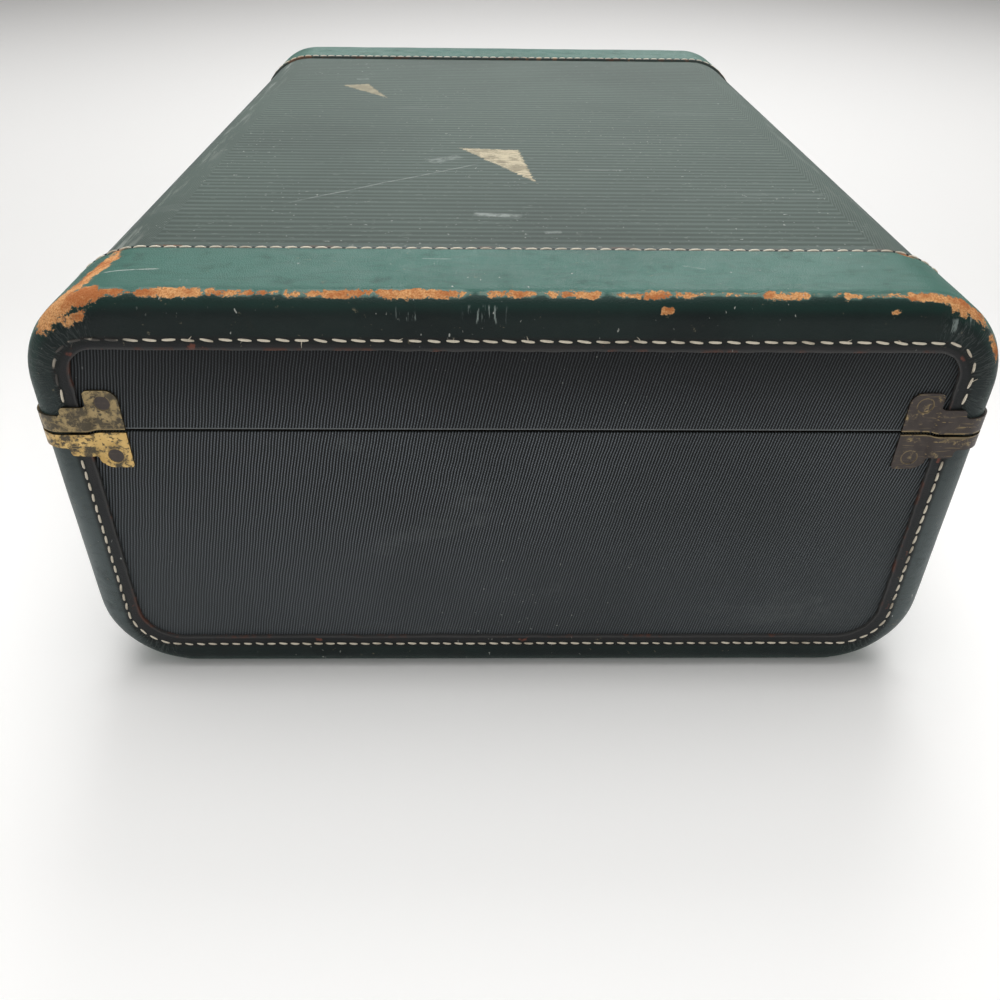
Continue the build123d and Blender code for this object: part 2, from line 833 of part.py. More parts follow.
for y, away, place in ((-lock_spread, -1, "near"), (lock_spread, 1, "far")):
    save(lock_case(y, away), f"lock_case_{place}")
    save(lock_button(y, away), f"lock_button_{place}")
    save(lock_spring(y, away), f"lock_spring_{place}")
    save(hasp_plate(y), f"hasp_plate_{place}")
    save(hasp(y), f"hasp_{place}")
    save(headed_pin(hasp_pin_radius, hasp_width, hasp_axis_x, y, hasp_axis_z), f"hasp_pin_{place}")

nails = [domed_nail(place, lock_plate_thickness, dome_radius, dome_height) for place in lock_seats()]
save_nails(nails, "lock_nails")
nails = [domed_nail(place, hasp_plate_thickness, dome_radius, dome_height) for place in hasp_seats()]
save_nails(nails, "hasp_plate_nails")


# Handle. It hangs from two pins, and its frame has x along the case and y up the handle.
def handle_section(along, drop, tangent_angle):
    """Plane square to the grip's line, whose local x runs through the handle's thickness."""
    origin = handle_frame.from_local_coords((along, -drop))
    tangent = (
        handle_frame.x_dir * cos(radians(tangent_angle))
        + handle_frame.y_dir * sin(radians(tangent_angle))
    )
    return Plane(origin=origin, x_dir=handle_frame.z_dir, z_dir=tangent)


with BuildPart() as handle_grip:
    for index in range(grip_stations):
        share = 2 * index / (grip_stations - 1) - 1
        angle = share * grip_arc_angle
        along = grip_arc_radius * sin(radians(angle))
        drop = grip_low - grip_arc_radius * (1 - cos(radians(angle)))
        full = max(cos(share * pi / 2), 0.0) ** grip_fullness
        with BuildSketch(handle_section(along, drop, angle)):
            Ellipse(
                grip_end_thickness + (grip_thickness - grip_end_thickness) * full,
                grip_end_depth + (grip_depth - grip_end_depth) * full,
            )
    loft()
save(handle_grip, "handle_grip")


def handle_end(end):
    """Metal ferrule on the end of the grip, its bent shank and the eye that turns on the pin."""
    with BuildPart() as fitting:
        start = handle_section(end * grip_end_y, grip_end_drop, end * grip_arc_angle)
        stop = handle_section(end * shank_start_y, shank_start_drop, end * grip_arc_angle)
        with BuildSketch(start):
            Ellipse(grip_end_thickness + ferrule_wall, grip_end_depth + ferrule_wall)
        with BuildSketch(stop):
            Ellipse(handle_shank_radius, handle_shank_radius)
        loft()
        with BuildLine(handle_frame) as bend:
            turn = JernArc(
                start=(end * shank_start_y, -shank_start_drop),
                tangent=(
                    end * cos(radians(grip_arc_angle)),
                    sin(radians(grip_arc_angle)),
                ),
                radius=shank_turn,
                arc_size=end * (90 - grip_arc_angle),
            )
            Line(turn @ 1, (end * handle_pin_y, 0))
        with BuildSketch(stop):
            Circle(handle_shank_radius)
        sweep(path=bend.wires()[0])
        with BuildSketch(cross_plane(end * handle_pin_y + eye_width / 2)):
            with Locations((handle_axis_x, handle_height)):
                Circle(eye_radius)
        extrude(amount=eye_width)
        with BuildSketch(cross_plane(end * handle_pin_y)):
            with Locations((handle_axis_x, handle_height)):
                Circle(handle_pin_radius + pin_clearance)
        extrude(amount=eye_width, both=True, mode=Mode.SUBTRACT)
    return fitting


def handle_plate(y):
    """Plate with two ears that carry the handle's pin."""
    ear_inner = eye_width / 2 + ear_clearance
    with BuildPart() as plate:
        with BuildSketch(side_plane(1)):
            with Locations((y, handle_height)):
                RectangleRounded(handle_plate_width, handle_plate_height, handle_plate_radius)
        extrude(amount=handle_plate_thickness)
        for high in (y + ear_inner + ear_thickness, y - ear_inner):
            with BuildSketch(cross_plane(high)):
                with Locations((handle_axis_x, handle_height)):
                    Circle(ear_radius)
                with Locations((canvas_x + handle_pivot_out / 2, handle_height)):
                    Rectangle(handle_pivot_out, 2 * ear_radius)
            extrude(amount=ear_thickness)
        with BuildSketch(cross_plane(y)):
            with Locations((handle_axis_x, handle_height)):
                Circle(handle_pin_radius + pin_clearance)
        extrude(amount=handle_plate_width, both=True, mode=Mode.SUBTRACT)
        drill(handle_seats())
    return plate


handle_pin_length = eye_width + 2 * (ear_clearance + ear_thickness)
for end, place in ((-1, "near"), (1, "far")):
    pin_y = end * handle_pin_y
    save(handle_end(end), f"handle_end_{place}")
    save(handle_plate(pin_y), f"handle_plate_{place}")
    pin = headed_pin(handle_pin_radius, handle_pin_length, handle_axis_x, pin_y, handle_height)
    save(pin, f"handle_pin_{place}")
nails = [
    domed_nail(place, handle_plate_thickness, dome_radius, dome_height) for place in handle_seats()
]
save_nails(nails, "handle_nails")

# Feet
save_nails([domed_nail(place, leather, foot_radius, foot_rise) for place in foot_seats()], "foot_studs")


# Packing straps on the floor of the base, with their buckles
def packing_strap(y):
    """Strap that lies in the bottom of the base and turns up both long sides."""
    with BuildPart() as strap:
        add(skin(lined_face, lined_face + strap_thickness, below_floor, strap_top))
        split(bisect_by=cross_plane(y - strap_width / 2), keep=Keep.BOTTOM)
        split(bisect_by=cross_plane(y + strap_width / 2), keep=Keep.TOP)
    return strap


def strap_buckle(y):
    """Frame buckle that lies on the strap, with its prong across it."""
    with BuildPart() as buckle:
        with BuildSketch(Plane.XY.offset(lined_face + strap_thickness)):
            with Locations((buckle_offset, y)):
                RectangleRounded(buckle_length, buckle_width, buckle_radius)
                RectangleRounded(
                    buckle_length - 2 * buckle_bar,
                    buckle_width - 2 * buckle_bar,
                    buckle_radius / 2,
                    mode=Mode.SUBTRACT,
                )
                Rectangle(buckle_length - buckle_bar, tongue_bar)
        extrude(amount=buckle_thickness)
    return buckle


for y, place in ((-strap_spread, "near"), (strap_spread, "far")):
    save(packing_strap(y), f"packing_strap_{place}")
    save(strap_buckle(y), f"strap_buckle_{place}")


# Gathered pocket under the lid's lining, and its elastic hem
pocket_ceiling = case_height - lined_face


def cloth_section(x, ceiling, depth, fold):
    """Cross-section of the cloth at x: level towards the lid, folded on its open side."""
    steps = 2 * pocket_fold_count
    points = []
    for index in range(steps + 1):
        sag = -fold if index % 2 else fold
        points.append((pocket_length * (index / steps - 1 / 2), ceiling - depth + sag))
    with BuildSketch(Plane.YZ.offset(x)) as section:
        with BuildLine():
            folds = Spline(*points)
            Polyline(
                folds @ 1,
                (pocket_length / 2, ceiling),
                (-pocket_length / 2, ceiling),
                folds @ 0,
            )
        make_face()
    return section.sketch


with BuildPart() as lid_pocket:
    sections = [
        cloth_section(pocket_start, pocket_ceiling, pocket_low_depth, pocket_fold_depth / 2),
        cloth_section(
            (pocket_start + pocket_end) / 2, pocket_ceiling, pocket_full_depth, pocket_fold_depth
        ),
        cloth_section(pocket_end, pocket_ceiling, pocket_hem_depth, pocket_hem_fold),
    ]
    loft(sections)
save(lid_pocket, "lid_pocket")

with BuildPart() as pocket_hem:
    sections = [
        cloth_section(x, pocket_ceiling, pocket_hem_depth + hem_rise, pocket_hem_fold)
        for x in (pocket_end, pocket_end + hem_width)
    ]
    loft(sections)
save(pocket_hem, "pocket_hem")
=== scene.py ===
# %% [markdown]
# An old suitcase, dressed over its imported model. The case is a board box, covered in woven canvas. Each
# end is bound in green hide, sewn down with a waxed cream thread, and the joint between lid and base is
# guarded at its corners by small metal plates. The real thing has been carried for decades, so most of
# the work goes into how the hide has worn through along its crests.

# %% Load the frame
from math import atan2, ceil, copysign, cos, hypot, pi, radians, sin
from random import Random

import bmesh
import bpy
from mathutils import Matrix, Vector, noise
from mathutils.kdtree import KDTree


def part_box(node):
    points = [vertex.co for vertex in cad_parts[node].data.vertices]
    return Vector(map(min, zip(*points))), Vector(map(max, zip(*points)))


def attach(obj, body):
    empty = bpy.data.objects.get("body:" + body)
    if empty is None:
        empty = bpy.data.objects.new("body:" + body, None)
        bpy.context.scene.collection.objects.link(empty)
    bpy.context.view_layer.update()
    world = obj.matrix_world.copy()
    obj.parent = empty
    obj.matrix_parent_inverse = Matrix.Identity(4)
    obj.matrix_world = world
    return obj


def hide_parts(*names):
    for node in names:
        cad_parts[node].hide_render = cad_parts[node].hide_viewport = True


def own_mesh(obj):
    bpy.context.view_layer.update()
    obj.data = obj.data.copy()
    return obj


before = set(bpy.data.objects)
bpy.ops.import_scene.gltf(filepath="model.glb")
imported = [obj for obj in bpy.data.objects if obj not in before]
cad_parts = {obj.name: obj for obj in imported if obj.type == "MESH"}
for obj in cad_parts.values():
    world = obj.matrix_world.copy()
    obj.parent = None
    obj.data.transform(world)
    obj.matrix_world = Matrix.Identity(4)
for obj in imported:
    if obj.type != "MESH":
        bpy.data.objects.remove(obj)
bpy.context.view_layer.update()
mm = 0.001

# %% [markdown]
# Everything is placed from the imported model. The two leather ends give the outside of the case, and the
# gap between the two board boxes gives the joint.

# %% Sizes of the case
near_low, near_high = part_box("base_binding_near")
lid_low, lid_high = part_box("lid_binding_near")
half_width = near_high[0]
half_length = -near_low[1]
case_top = lid_high[2]
base_rim = near_high[2]
lid_rim = lid_low[2]
joint = (base_rim + lid_rim) / 2
band_width = near_high[1] - near_low[1]
corner_radius = 34.3 * mm
end_roll = 8.5 * mm
leather = half_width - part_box("base_cover")[1][0]
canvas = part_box("base_cover")[1][0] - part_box("base_shell")[1][0]
window_side = 16.6 * mm
window_top = 19.3 * mm
window_bottom = 17.4 * mm
print("case", 2 * half_width, 2 * half_length, case_top, "joint", joint)

# %% [markdown]
# The camera stands just over half a metre off the near end, above it, and looks down on the lid. Its
# place comes from the corners of the case in the photograph, and its turn is given as three angles.

# %% Camera
camera_place = Vector((-11.3, -496.7, 277.7)) * mm
camera_pitch = 0.620
camera_yaw = -0.022
camera_roll = 0.014
camera_lens = 32.48

right = Vector((cos(camera_yaw), sin(camera_yaw), 0))
look = Vector(
    (
        -sin(camera_yaw) * cos(camera_pitch),
        cos(camera_yaw) * cos(camera_pitch),
        -sin(camera_pitch),
    )
)
level_up = right.cross(look)
tilted_right = right * cos(camera_roll) + level_up * sin(camera_roll)
tilted_up = level_up * cos(camera_roll) - right * sin(camera_roll)
bpy.ops.object.camera_add(location=camera_place)
camera = bpy.context.object
camera.name = "camera"
turn = Matrix((tilted_right, tilted_up, -look)).transposed()
camera.matrix_world = Matrix.Translation(camera_place) @ turn.to_4x4()
camera.data.lens = camera_lens
camera.data.sensor_width = 36
camera.data.clip_start = 0.01
bpy.context.scene.camera = camera
print("camera", tuple(camera_place))

# %% [markdown]
# The floor and the wall behind are one white sheet with a wide bend, as on a photographer's table. The
# light comes from above and behind, so the top of the case shines pale and its near end stays dark.

# %% Floor and light
def clear_selection():
    """Leaves nothing selected and no object in edit mode."""
    if bpy.context.object and bpy.context.object.mode != "OBJECT":
        bpy.ops.object.mode_set(mode="OBJECT")
    bpy.ops.object.select_all(action="DESELECT")


scene = bpy.context.scene
scene.view_settings.view_transform = "Standard"

clear_selection()
bpy.ops.mesh.primitive_plane_add(size=1, location=(0, 0, 0))
sheet = bpy.context.object
sheet.name = "studio_sheet"
sheet.scale = (9, 7, 1)
bpy.ops.object.transform_apply(scale=True)
bpy.ops.object.mode_set(mode="EDIT")
bpy.ops.mesh.select_all(action="DESELECT")
bpy.ops.object.mode_set(mode="OBJECT")
for edge in sheet.data.edges:
    edge.select = all(sheet.data.vertices[i].co.y > 1 for i in edge.vertices)
bpy.ops.object.mode_set(mode="EDIT")
bpy.ops.mesh.select_mode(type="EDGE")
bpy.ops.mesh.extrude_region_move(TRANSFORM_OT_translate={"value": (0, 0, 5)})
bpy.ops.object.mode_set(mode="OBJECT")
bend = sheet.modifiers.new("bend", "BEVEL")
bend.width = 1.5
bend.segments = 12
bend.limit_method = "ANGLE"
bpy.ops.object.modifier_apply(modifier="bend")
bpy.ops.object.shade_smooth()

world = scene.world or bpy.data.worlds.new("world")
scene.world = world
world.use_nodes = True
world.node_tree.nodes["Background"].inputs["Color"].default_value = (1, 0.99, 0.975, 1)
world.node_tree.nodes["Background"].inputs["Strength"].default_value = 0.36


def lamp(name, place, aim, size, power):
    """A soft square lamp that looks at a point."""
    bpy.ops.object.light_add(type="AREA", location=place)
    light = bpy.context.object
    light.name = name
    light.data.size = size
    light.data.energy = power
    direction = Vector(aim) - Vector(place)
    light.rotation_euler = direction.to_track_quat("-Z", "Y").to_euler()
    return light


lamp("window_behind", (0.2, 1.7, 1.7), (0, 0, 0.1), 1.8, 36)
lamp("ceiling", (-0.1, 0.1, 2.2), (0, 0, 0), 1.6, 20)
lamp("front_fill", (-0.5, -2.2, 1.2), (0, -0.2, 0.05), 1.6, 5)
print("stage and lamps ready")

# %% [markdown]
# Materials read Object coordinates. Every piece has its place in its mesh, so these are the metres of the
# frame. A few effects come back in several materials, so each is a node group, made once with named
# sockets. A small helper adds nodes and joins them, which keeps each recipe readable.

# %% Node helpers
def group_tree(name, inputs, outputs):
    """A new shader group with these sockets, given as (name, kind, value)."""
    tree = bpy.data.node_groups.new(name, "ShaderNodeTree")
    for label, kind, value in inputs:
        socket = tree.interface.new_socket(label, in_out="INPUT", socket_type=kind)
        socket.default_value = value
    for label, kind in outputs:
        tree.interface.new_socket(label, in_out="OUTPUT", socket_type=kind)
    tree.nodes.new("NodeGroupInput").name = "In"
    tree.nodes.new("NodeGroupOutput").name = "Out"
    return tree


def feed(tree, node, **links):
    """Fills inputs of a node. A keyword names one, with _ for a space, and gives a socket or a value."""
    for key, value in links.items():
        index = int(key[1:]) if key[0] == "i" and key[1:].isdigit() else key.replace("_", " ")
        if isinstance(value, bpy.types.NodeSocket):
            tree.links.new(value, node.inputs[index])
        else:
            node.inputs[index].default_value = value


def put(tree, kind, settings=None, **links):
    """Adds a node with these settings and fills its inputs."""
    node = tree.nodes.new(kind)
    for key, value in (settings or {}).items():
        setattr(node, key, value)
    feed(tree, node, **links)
    return node


def math_node(tree, operation, a, b=0.0, clamp=False):
    """The result of one sum on two sockets or numbers."""
    node = put(tree, "ShaderNodeMath", {"operation": operation, "use_clamp": clamp}, i0=a, i1=b)
    return node.outputs[0]


def ramp(tree, value, low, high, to_low=0.0, to_high=1.0):
    """A smooth step of a value from one level to another."""
    node = put(
        tree,
        "ShaderNodeMapRange",
        {"interpolation_type": "SMOOTHSTEP"},
        Value=value,
        From_Min=low,
        From_Max=high,
        To_Min=to_low,
        To_Max=to_high,
    )
    return node.outputs[0]


def times(tree, *values):
    """The product of several sockets or numbers."""
    result = values[0]
    for value in values[1:]:
        result = math_node(tree, "MULTIPLY", result, value)
    return result


def mix_colour(tree, factor, a, b):
    """One colour laid over another. A mix of colours has them at its inputs 6 and 7."""
    return put(tree, "ShaderNodeMix", {"data_type": "RGBA"}, i0=factor, i6=a, i7=b).outputs[2]


def noise_node(tree, vector, scale, detail=3.0, roughness=0.5, distortion=0.0):
    """The value of a noise at this scale."""
    node = put(
        tree,
        "ShaderNodeTexNoise",
        Vector=vector,
        Scale=scale,
        Detail=detail,
        Roughness=roughness,
        Distortion=distortion,
    )
    return node.outputs[0]


def stretched(tree, vector, x, y, z):
    """A vector with each axis scaled by its own amount."""
    return put(tree, "ShaderNodeMapping", Vector=vector, Scale=(x, y, z)).outputs[0]


def add_bump(tree, shader, height, strength, distance):
    """Turns a height into small relief on the surface."""
    bump = put(tree, "ShaderNodeBump", Strength=strength, Distance=distance, Height=height)
    feed(tree, shader, Normal=bump.outputs[0])


def new_material(name):
    """A material with its tree, shader and Object coordinates."""
    material = bpy.data.materials.new(name)
    material.use_nodes = True
    tree = material.node_tree
    shader = tree.nodes["Principled BSDF"]
    where = tree.nodes.new("ShaderNodeTexCoord").outputs["Object"]
    return material, tree, shader, where


def use_group(tree, group, **links):
    """Places a group in a tree."""
    return put(tree, "ShaderNodeGroup", {"node_tree": group}, **links)


print("node helpers ready")

# %% [markdown]
# The paper of the sheet looks whiter to the camera than the light on it alone would make it, as in a bright
# studio, and falls off a little towards the back. Glossy rays see the same paper, so metal and hide reflect
# what the picture shows. Only what the camera sees is lifted, so the case gets no extra light. That lift is
# painted light.

# %% Floor paint
paper, tree, shader, where = new_material("studio_white")
rays = put(tree, "ShaderNodeLightPath").outputs
shown = math_node(tree, "ADD", rays["Is Camera Ray"], rays["Is Glossy Ray"], True)
shown = math_node(tree, "ADD", shown, rays["Is Transmission Ray"], True)
ground = put(tree, "ShaderNodeSeparateXYZ", Vector=where).outputs
back = ground["Y"]
white = mix_colour(tree, ramp(tree, back, -0.25, 0.2), (0.97, 0.965, 0.955, 1), (0.79, 0.785, 0.775, 1))
white = mix_colour(tree, ramp(tree, back, 0.3, 2.1), white, (0.47, 0.465, 0.46, 1))
feed(tree, shader, Base_Color=mix_colour(tree, shown, (0.80, 0.79, 0.775, 1), white))
feed(tree, shader, Roughness=0.6)
# Painted light on the paper: stronger in front, weaker to the sides, and none close to the case, so the
# case's shadow stays dark.
lift = times(tree, shown, ramp(tree, back, -0.3, 0.5, 0.19, 0.0))
aside = math_node(tree, "ABSOLUTE", ground["X"])
lift = times(tree, lift, ramp(tree, aside, 0.12, 0.5, 1.0, 0.35))
gap_x = math_node(tree, "SUBTRACT", aside, half_width - 20 * mm)
gap_y = math_node(tree, "SUBTRACT", math_node(tree, "ABSOLUTE", back), half_length - 10 * mm)
case_gap = math_node(tree, "MAXIMUM", gap_x, gap_y)
lift = times(tree, lift, ramp(tree, case_gap, 0.0, 30 * mm))
feed(tree, shader, Emission_Strength=lift)
feed(tree, shader, Emission_Color=(1, 0.99, 0.975, 1))
sheet.data.materials.append(paper)
print("paper of the sheet", len(tree.nodes), "nodes")

# %% [markdown]
# The stitch lines matter to more than the thread: the hide is pulled down beside them, and painted shade
# darkens that groove. This group measures how far a point is from the nearest line. On the end faces the
# line is a rounded rectangle, and along the sides it is a plane near the edge of the band. Its third output
# turns round the corners of that rectangle, for creases that fan out from them.

# %% Seam distance group
seam_side = 12.2 * mm
seam_top = 15.7 * mm
seam_bottom = 13.4 * mm
seam_radius = 15 * mm
band_seam = 1.7 * mm
band_seam_y = half_length - band_width + band_seam
seam_half_x = half_width - seam_side
seam_half_z = (case_top - seam_top - seam_bottom) / 2
seam_middle_z = seam_bottom + seam_half_z

seam_group = group_tree(
    "seam_distance",
    [("Vector", "NodeSocketVector", (0, 0, 0))],
    [("Window", "NodeSocketFloat"), ("Band", "NodeSocketFloat"), ("Turn", "NodeSocketFloat")],
)
parts = put(seam_group, "ShaderNodeSeparateXYZ", Vector=seam_group.nodes["In"].outputs["Vector"])
across = math_node(seam_group, "ABSOLUTE", parts.outputs["X"])
across = math_node(seam_group, "SUBTRACT", across, seam_half_x - seam_radius)
height = math_node(seam_group, "SUBTRACT", parts.outputs["Z"], seam_middle_z)
height = math_node(seam_group, "ABSOLUTE", height)
height = math_node(seam_group, "SUBTRACT", height, seam_half_z - seam_radius)
outside_x = math_node(seam_group, "MAXIMUM", across, 0.0)
outside_z = math_node(seam_group, "MAXIMUM", height, 0.0)
squares = math_node(
    seam_group,
    "ADD",
    times(seam_group, outside_x, outside_x),
    times(seam_group, outside_z, outside_z),
)
inner = math_node(seam_group, "MINIMUM", math_node(seam_group, "MAXIMUM", across, height), 0.0)
outer = math_node(seam_group, "SQRT", squares)
signed = math_node(seam_group, "ADD", outer, math_node(seam_group, "SUBTRACT", inner, seam_radius))
turn = math_node(seam_group, "ARCTAN2", height, across)
along = math_node(seam_group, "ABSOLUTE", parts.outputs["Y"])
along = math_node(seam_group, "SUBTRACT", along, band_seam_y)
feed(seam_group, seam_group.nodes["Out"], Window=signed, Turn=turn, Band=along)
print("seam window", 2 * seam_half_x, "wide", 2 * seam_half_z, "high")

# %% [markdown]
# Hide has a fine pebbled grain with longer creases through it. Cell edges give the pebbles and a
# stretched noise gives the creases.

# %% Hide grain group
hide_group = group_tree(
    "hide_grain",
    [("Vector", "NodeSocketVector", (0, 0, 0)), ("Size", "NodeSocketFloat", 0.9 * mm)],
    [("Height", "NodeSocketFloat"), ("Crease", "NodeSocketFloat")],
)
hide_in = hide_group.nodes["In"].outputs
pebble_scale = math_node(hide_group, "DIVIDE", 1.0, hide_in["Size"])
warp = put(hide_group, "ShaderNodeTexNoise", Vector=hide_in["Vector"], Scale=260.0, Detail=2.0)
warped = put(
    hide_group,
    "ShaderNodeVectorMath",
    {"operation": "MULTIPLY_ADD"},
    i0=warp.outputs["Color"],
    i1=(0.0011, 0.0011, 0.0011),
    i2=hide_in["Vector"],
)
pebbles = put(
    hide_group,
    "ShaderNodeTexVoronoi",
    {"feature": "DISTANCE_TO_EDGE"},
    Vector=warped.outputs[0],
    Scale=pebble_scale,
)
rounded = ramp(hide_group, pebbles.outputs["Distance"], 0.0, 0.28)
crease = noise_node(hide_group, stretched(hide_group, hide_in["Vector"], 60, 260, 200), 1.0, 4, 0.6, 1.2)
crease = ramp(hide_group, crease, 0.52, 0.60)
total = math_node(hide_group, "SUBTRACT", rounded, times(hide_group, crease, 0.2))
feed(hide_group, hide_group.nodes["Out"], Height=total, Crease=crease)
print("hide grain", len(hide_group.nodes), "nodes")

# %% [markdown]
# The cover is a twill: ribs of thread that climb across the cloth, each broken into short stitches by the
# weft. It reads a UV map in metres that is laid on each cloth piece, so the ribs follow the cloth round
# the corners of the case.

# %% Twill group
drift_share = 0.8
weft_share = 0.95
weft_step = 0.5

twill_group = group_tree(
    "twill_weave",
    [
        ("UV", "NodeSocketVector", (0, 0, 0)),
        ("Rib", "NodeSocketFloat", 1.07 * mm),
        ("Steepness", "NodeSocketFloat", 0.22),
    ],
    [("Height", "NodeSocketFloat"), ("Ribs", "NodeSocketFloat"), ("Slub", "NodeSocketFloat")],
)
twill_in = twill_group.nodes["In"].outputs
uv = put(twill_group, "ShaderNodeSeparateXYZ", Vector=twill_in["UV"]).outputs
lean = times(twill_group, uv["Y"], twill_in["Steepness"])
phase = math_node(twill_group, "DIVIDE", math_node(twill_group, "SUBTRACT", uv["X"], lean), twill_in["Rib"])
drift = noise_node(twill_group, twill_in["UV"], 90, 2)
phase = math_node(twill_group, "ADD", phase, times(twill_group, drift, drift_share))
rib_wave = math_node(twill_group, "SINE", times(twill_group, phase, 2 * pi))
weft_pitch = times(twill_group, twill_in["Rib"], weft_share)
weft = math_node(twill_group, "DIVIDE", uv["Y"], weft_pitch)
weft = math_node(twill_group, "ADD", weft, times(twill_group, phase, weft_step))
weft_wave = math_node(twill_group, "SINE", times(twill_group, weft, 2 * pi))
dash = ramp(twill_group, weft_wave, -1.0, 0.7, 0.60, 1.0)
ribs = ramp(twill_group, rib_wave, -0.7, 1.0)
woven = times(twill_group, ribs, dash)
slub = noise_node(twill_group, stretched(twill_group, twill_in["UV"], 60, 900, 1), 1.0, 3)
feed(twill_group, twill_group.nodes["Out"], Height=woven, Ribs=ribs, Slub=slub)
print("groups", [tree.name for tree in bpy.data.node_groups])

# %% [markdown]
# The hide is dyed a dark bottle green, darker in its creases. Where it has rubbed through, the
# buff suede under the dye shows, with a ragged edge and a scorched rim. How worn each spot is comes from
# an attribute on the mesh, and noise breaks it up.

# %% Strokes
def stroke_mask(tree, where, start, end, width):
    """A thin broken line on top of the lid between two points, given in metres across and along."""
    length = hypot(end[0] - start[0], end[1] - start[1])
    turn = atan2(end[1] - start[1], end[0] - start[0])
    node = put(
        tree,
        "ShaderNodeMapping",
        {"vector_type": "TEXTURE"},
        Vector=where,
        Location=(start[0], start[1], 0),
        Rotation=(0, 0, turn),
    )
    local = put(tree, "ShaderNodeSeparateXYZ", Vector=node.outputs[0]).outputs
    sway = math_node(tree, "SUBTRACT", noise_node(tree, where, 40, 2), 0.5)
    off = math_node(tree, "ADD", local["Y"], times(tree, sway, 3 * mm))
    line = ramp(tree, math_node(tree, "ABSOLUTE", off), width * 0.3, width, 1.0, 0.0)
    begins = ramp(tree, local["X"], 0.0, 0.1 * length)
    ends = ramp(tree, local["X"], 0.9 * length, length, 1.0, 0.0)
    broken = ramp(tree, noise_node(tree, where, 260, 3, 0.7), 0.35, 0.6, 0.25, 1.0)
    height = put(tree, "ShaderNodeSeparateXYZ", Vector=where).outputs["Z"]
    return times(tree, line, begins, ends, broken, ramp(tree, height, case_top - 6 * mm, case_top - 3 * mm))


print("strokes ready")

# %% [markdown]
# The dye is green on the band and lighter towards its sides. The end face, which turns away from the light,
# is painted nearly black as shade, with a deep green painted just under the crest where the roll turns down.
# Low on the long sides the hide is painted a paler grey, as painted light falling on the sides. Clouds of
# noise mottle it.

# %% Dye of the hide
def dyed_colours(tree, where, seam, grain):
    """Dye of the hide: green on the band, nearly black on the end as painted shade, paler low on the sides as
    painted light, brown where it is raw by the window.
    """
    cloud = ramp(tree, noise_node(tree, where, 22, 4, 0.55), 0.3, 0.72)
    band = mix_colour(tree, cloud, (0.014, 0.100, 0.073, 1), (0.026, 0.140, 0.106, 1))
    # Painted shade: the end face is coloured nearly black because it faces away from the light.
    end = mix_colour(tree, cloud, (0.003, 0.009, 0.009, 1), (0.008, 0.020, 0.018, 1))
    axes = put(tree, "ShaderNodeSeparateXYZ", Vector=where).outputs
    endward = math_node(tree, "SUBTRACT", half_length, math_node(tree, "ABSOLUTE", axes["Y"]))
    aside = math_node(tree, "ABSOLUTE", axes["X"])
    band = mix_colour(tree, ramp(tree, aside, 25 * mm, 115 * mm, 0.0, 0.6), band, (0.085, 0.195, 0.160, 1))
    colour = mix_colour(tree, ramp(tree, endward, 6.2 * mm, 2.6 * mm), band, end)
    # Painted shade: a deep green across the roll, between the lit band and the shaded end.
    under_crest = ramp(tree, endward, 5.5 * mm, 2.8 * mm)
    under_crest = times(tree, under_crest, ramp(tree, endward, 0.2 * mm, 1.6 * mm))
    colour = mix_colour(tree, times(tree, under_crest, 0.6), colour, (0.008, 0.042, 0.032, 1))
    # Painted light: the low parts of the long sides are paler because light falls on them from the side.
    sideways = math_node(tree, "SUBTRACT", half_width, aside)
    low = ramp(tree, axes["Z"], 60 * mm, 155 * mm, 1.0, 0.0)
    low = times(tree, low, ramp(tree, sideways, 20 * mm, 3 * mm))
    colour = mix_colour(tree, times(tree, low, 0.85), colour, (0.150, 0.182, 0.186, 1))
    soil = noise_node(tree, where, 90, 5, 0.65)
    colour = mix_colour(tree, ramp(tree, soil, 0.56, 0.74, 0.0, 0.4), colour, (0.016, 0.020, 0.017, 1))
    colour = mix_colour(tree, times(tree, grain.outputs["Crease"], 0.14), colour, (0.010, 0.018, 0.015, 1))

    strip = ramp(tree, seam.outputs["Window"], -0.5 * mm, -1.5 * mm)
    red = ramp(tree, noise_node(tree, where, 70, 4, 0.7), 0.62, 0.67)
    raw = mix_colour(tree, cloud, (0.009, 0.011, 0.013, 1), (0.026, 0.023, 0.024, 1))
    raw = mix_colour(tree, red, raw, (0.20, 0.062, 0.040, 1))
    return mix_colour(tree, times(tree, strip, 0.85), colour, raw), soil


print("dye ready")

# %% [markdown]
# The finished hide shows bare suede where the piece says that it is worn, with a paler rim between suede and
# dye. Scratches and small ticks in the dye are strokes at chosen places.

# %% Green hide
band_scratches = [
    ((-0.1375, -0.2090), (-0.1185, -0.2070), 0.5 * mm, 0.8),
    ((-0.0330, -0.1960), (-0.0220, -0.1965), 0.5 * mm, 0.35),
    ((0.0560, -0.2010), (0.0640, -0.2040), 0.4 * mm, 0.4),
]
tick_fields = [
    (-0.011, 8 * mm, 155 * mm, 161.5 * mm),
    (-0.036, 4 * mm, 156 * mm, 161 * mm),
    (0.142, 7 * mm, 152 * mm, 158 * mm),
]


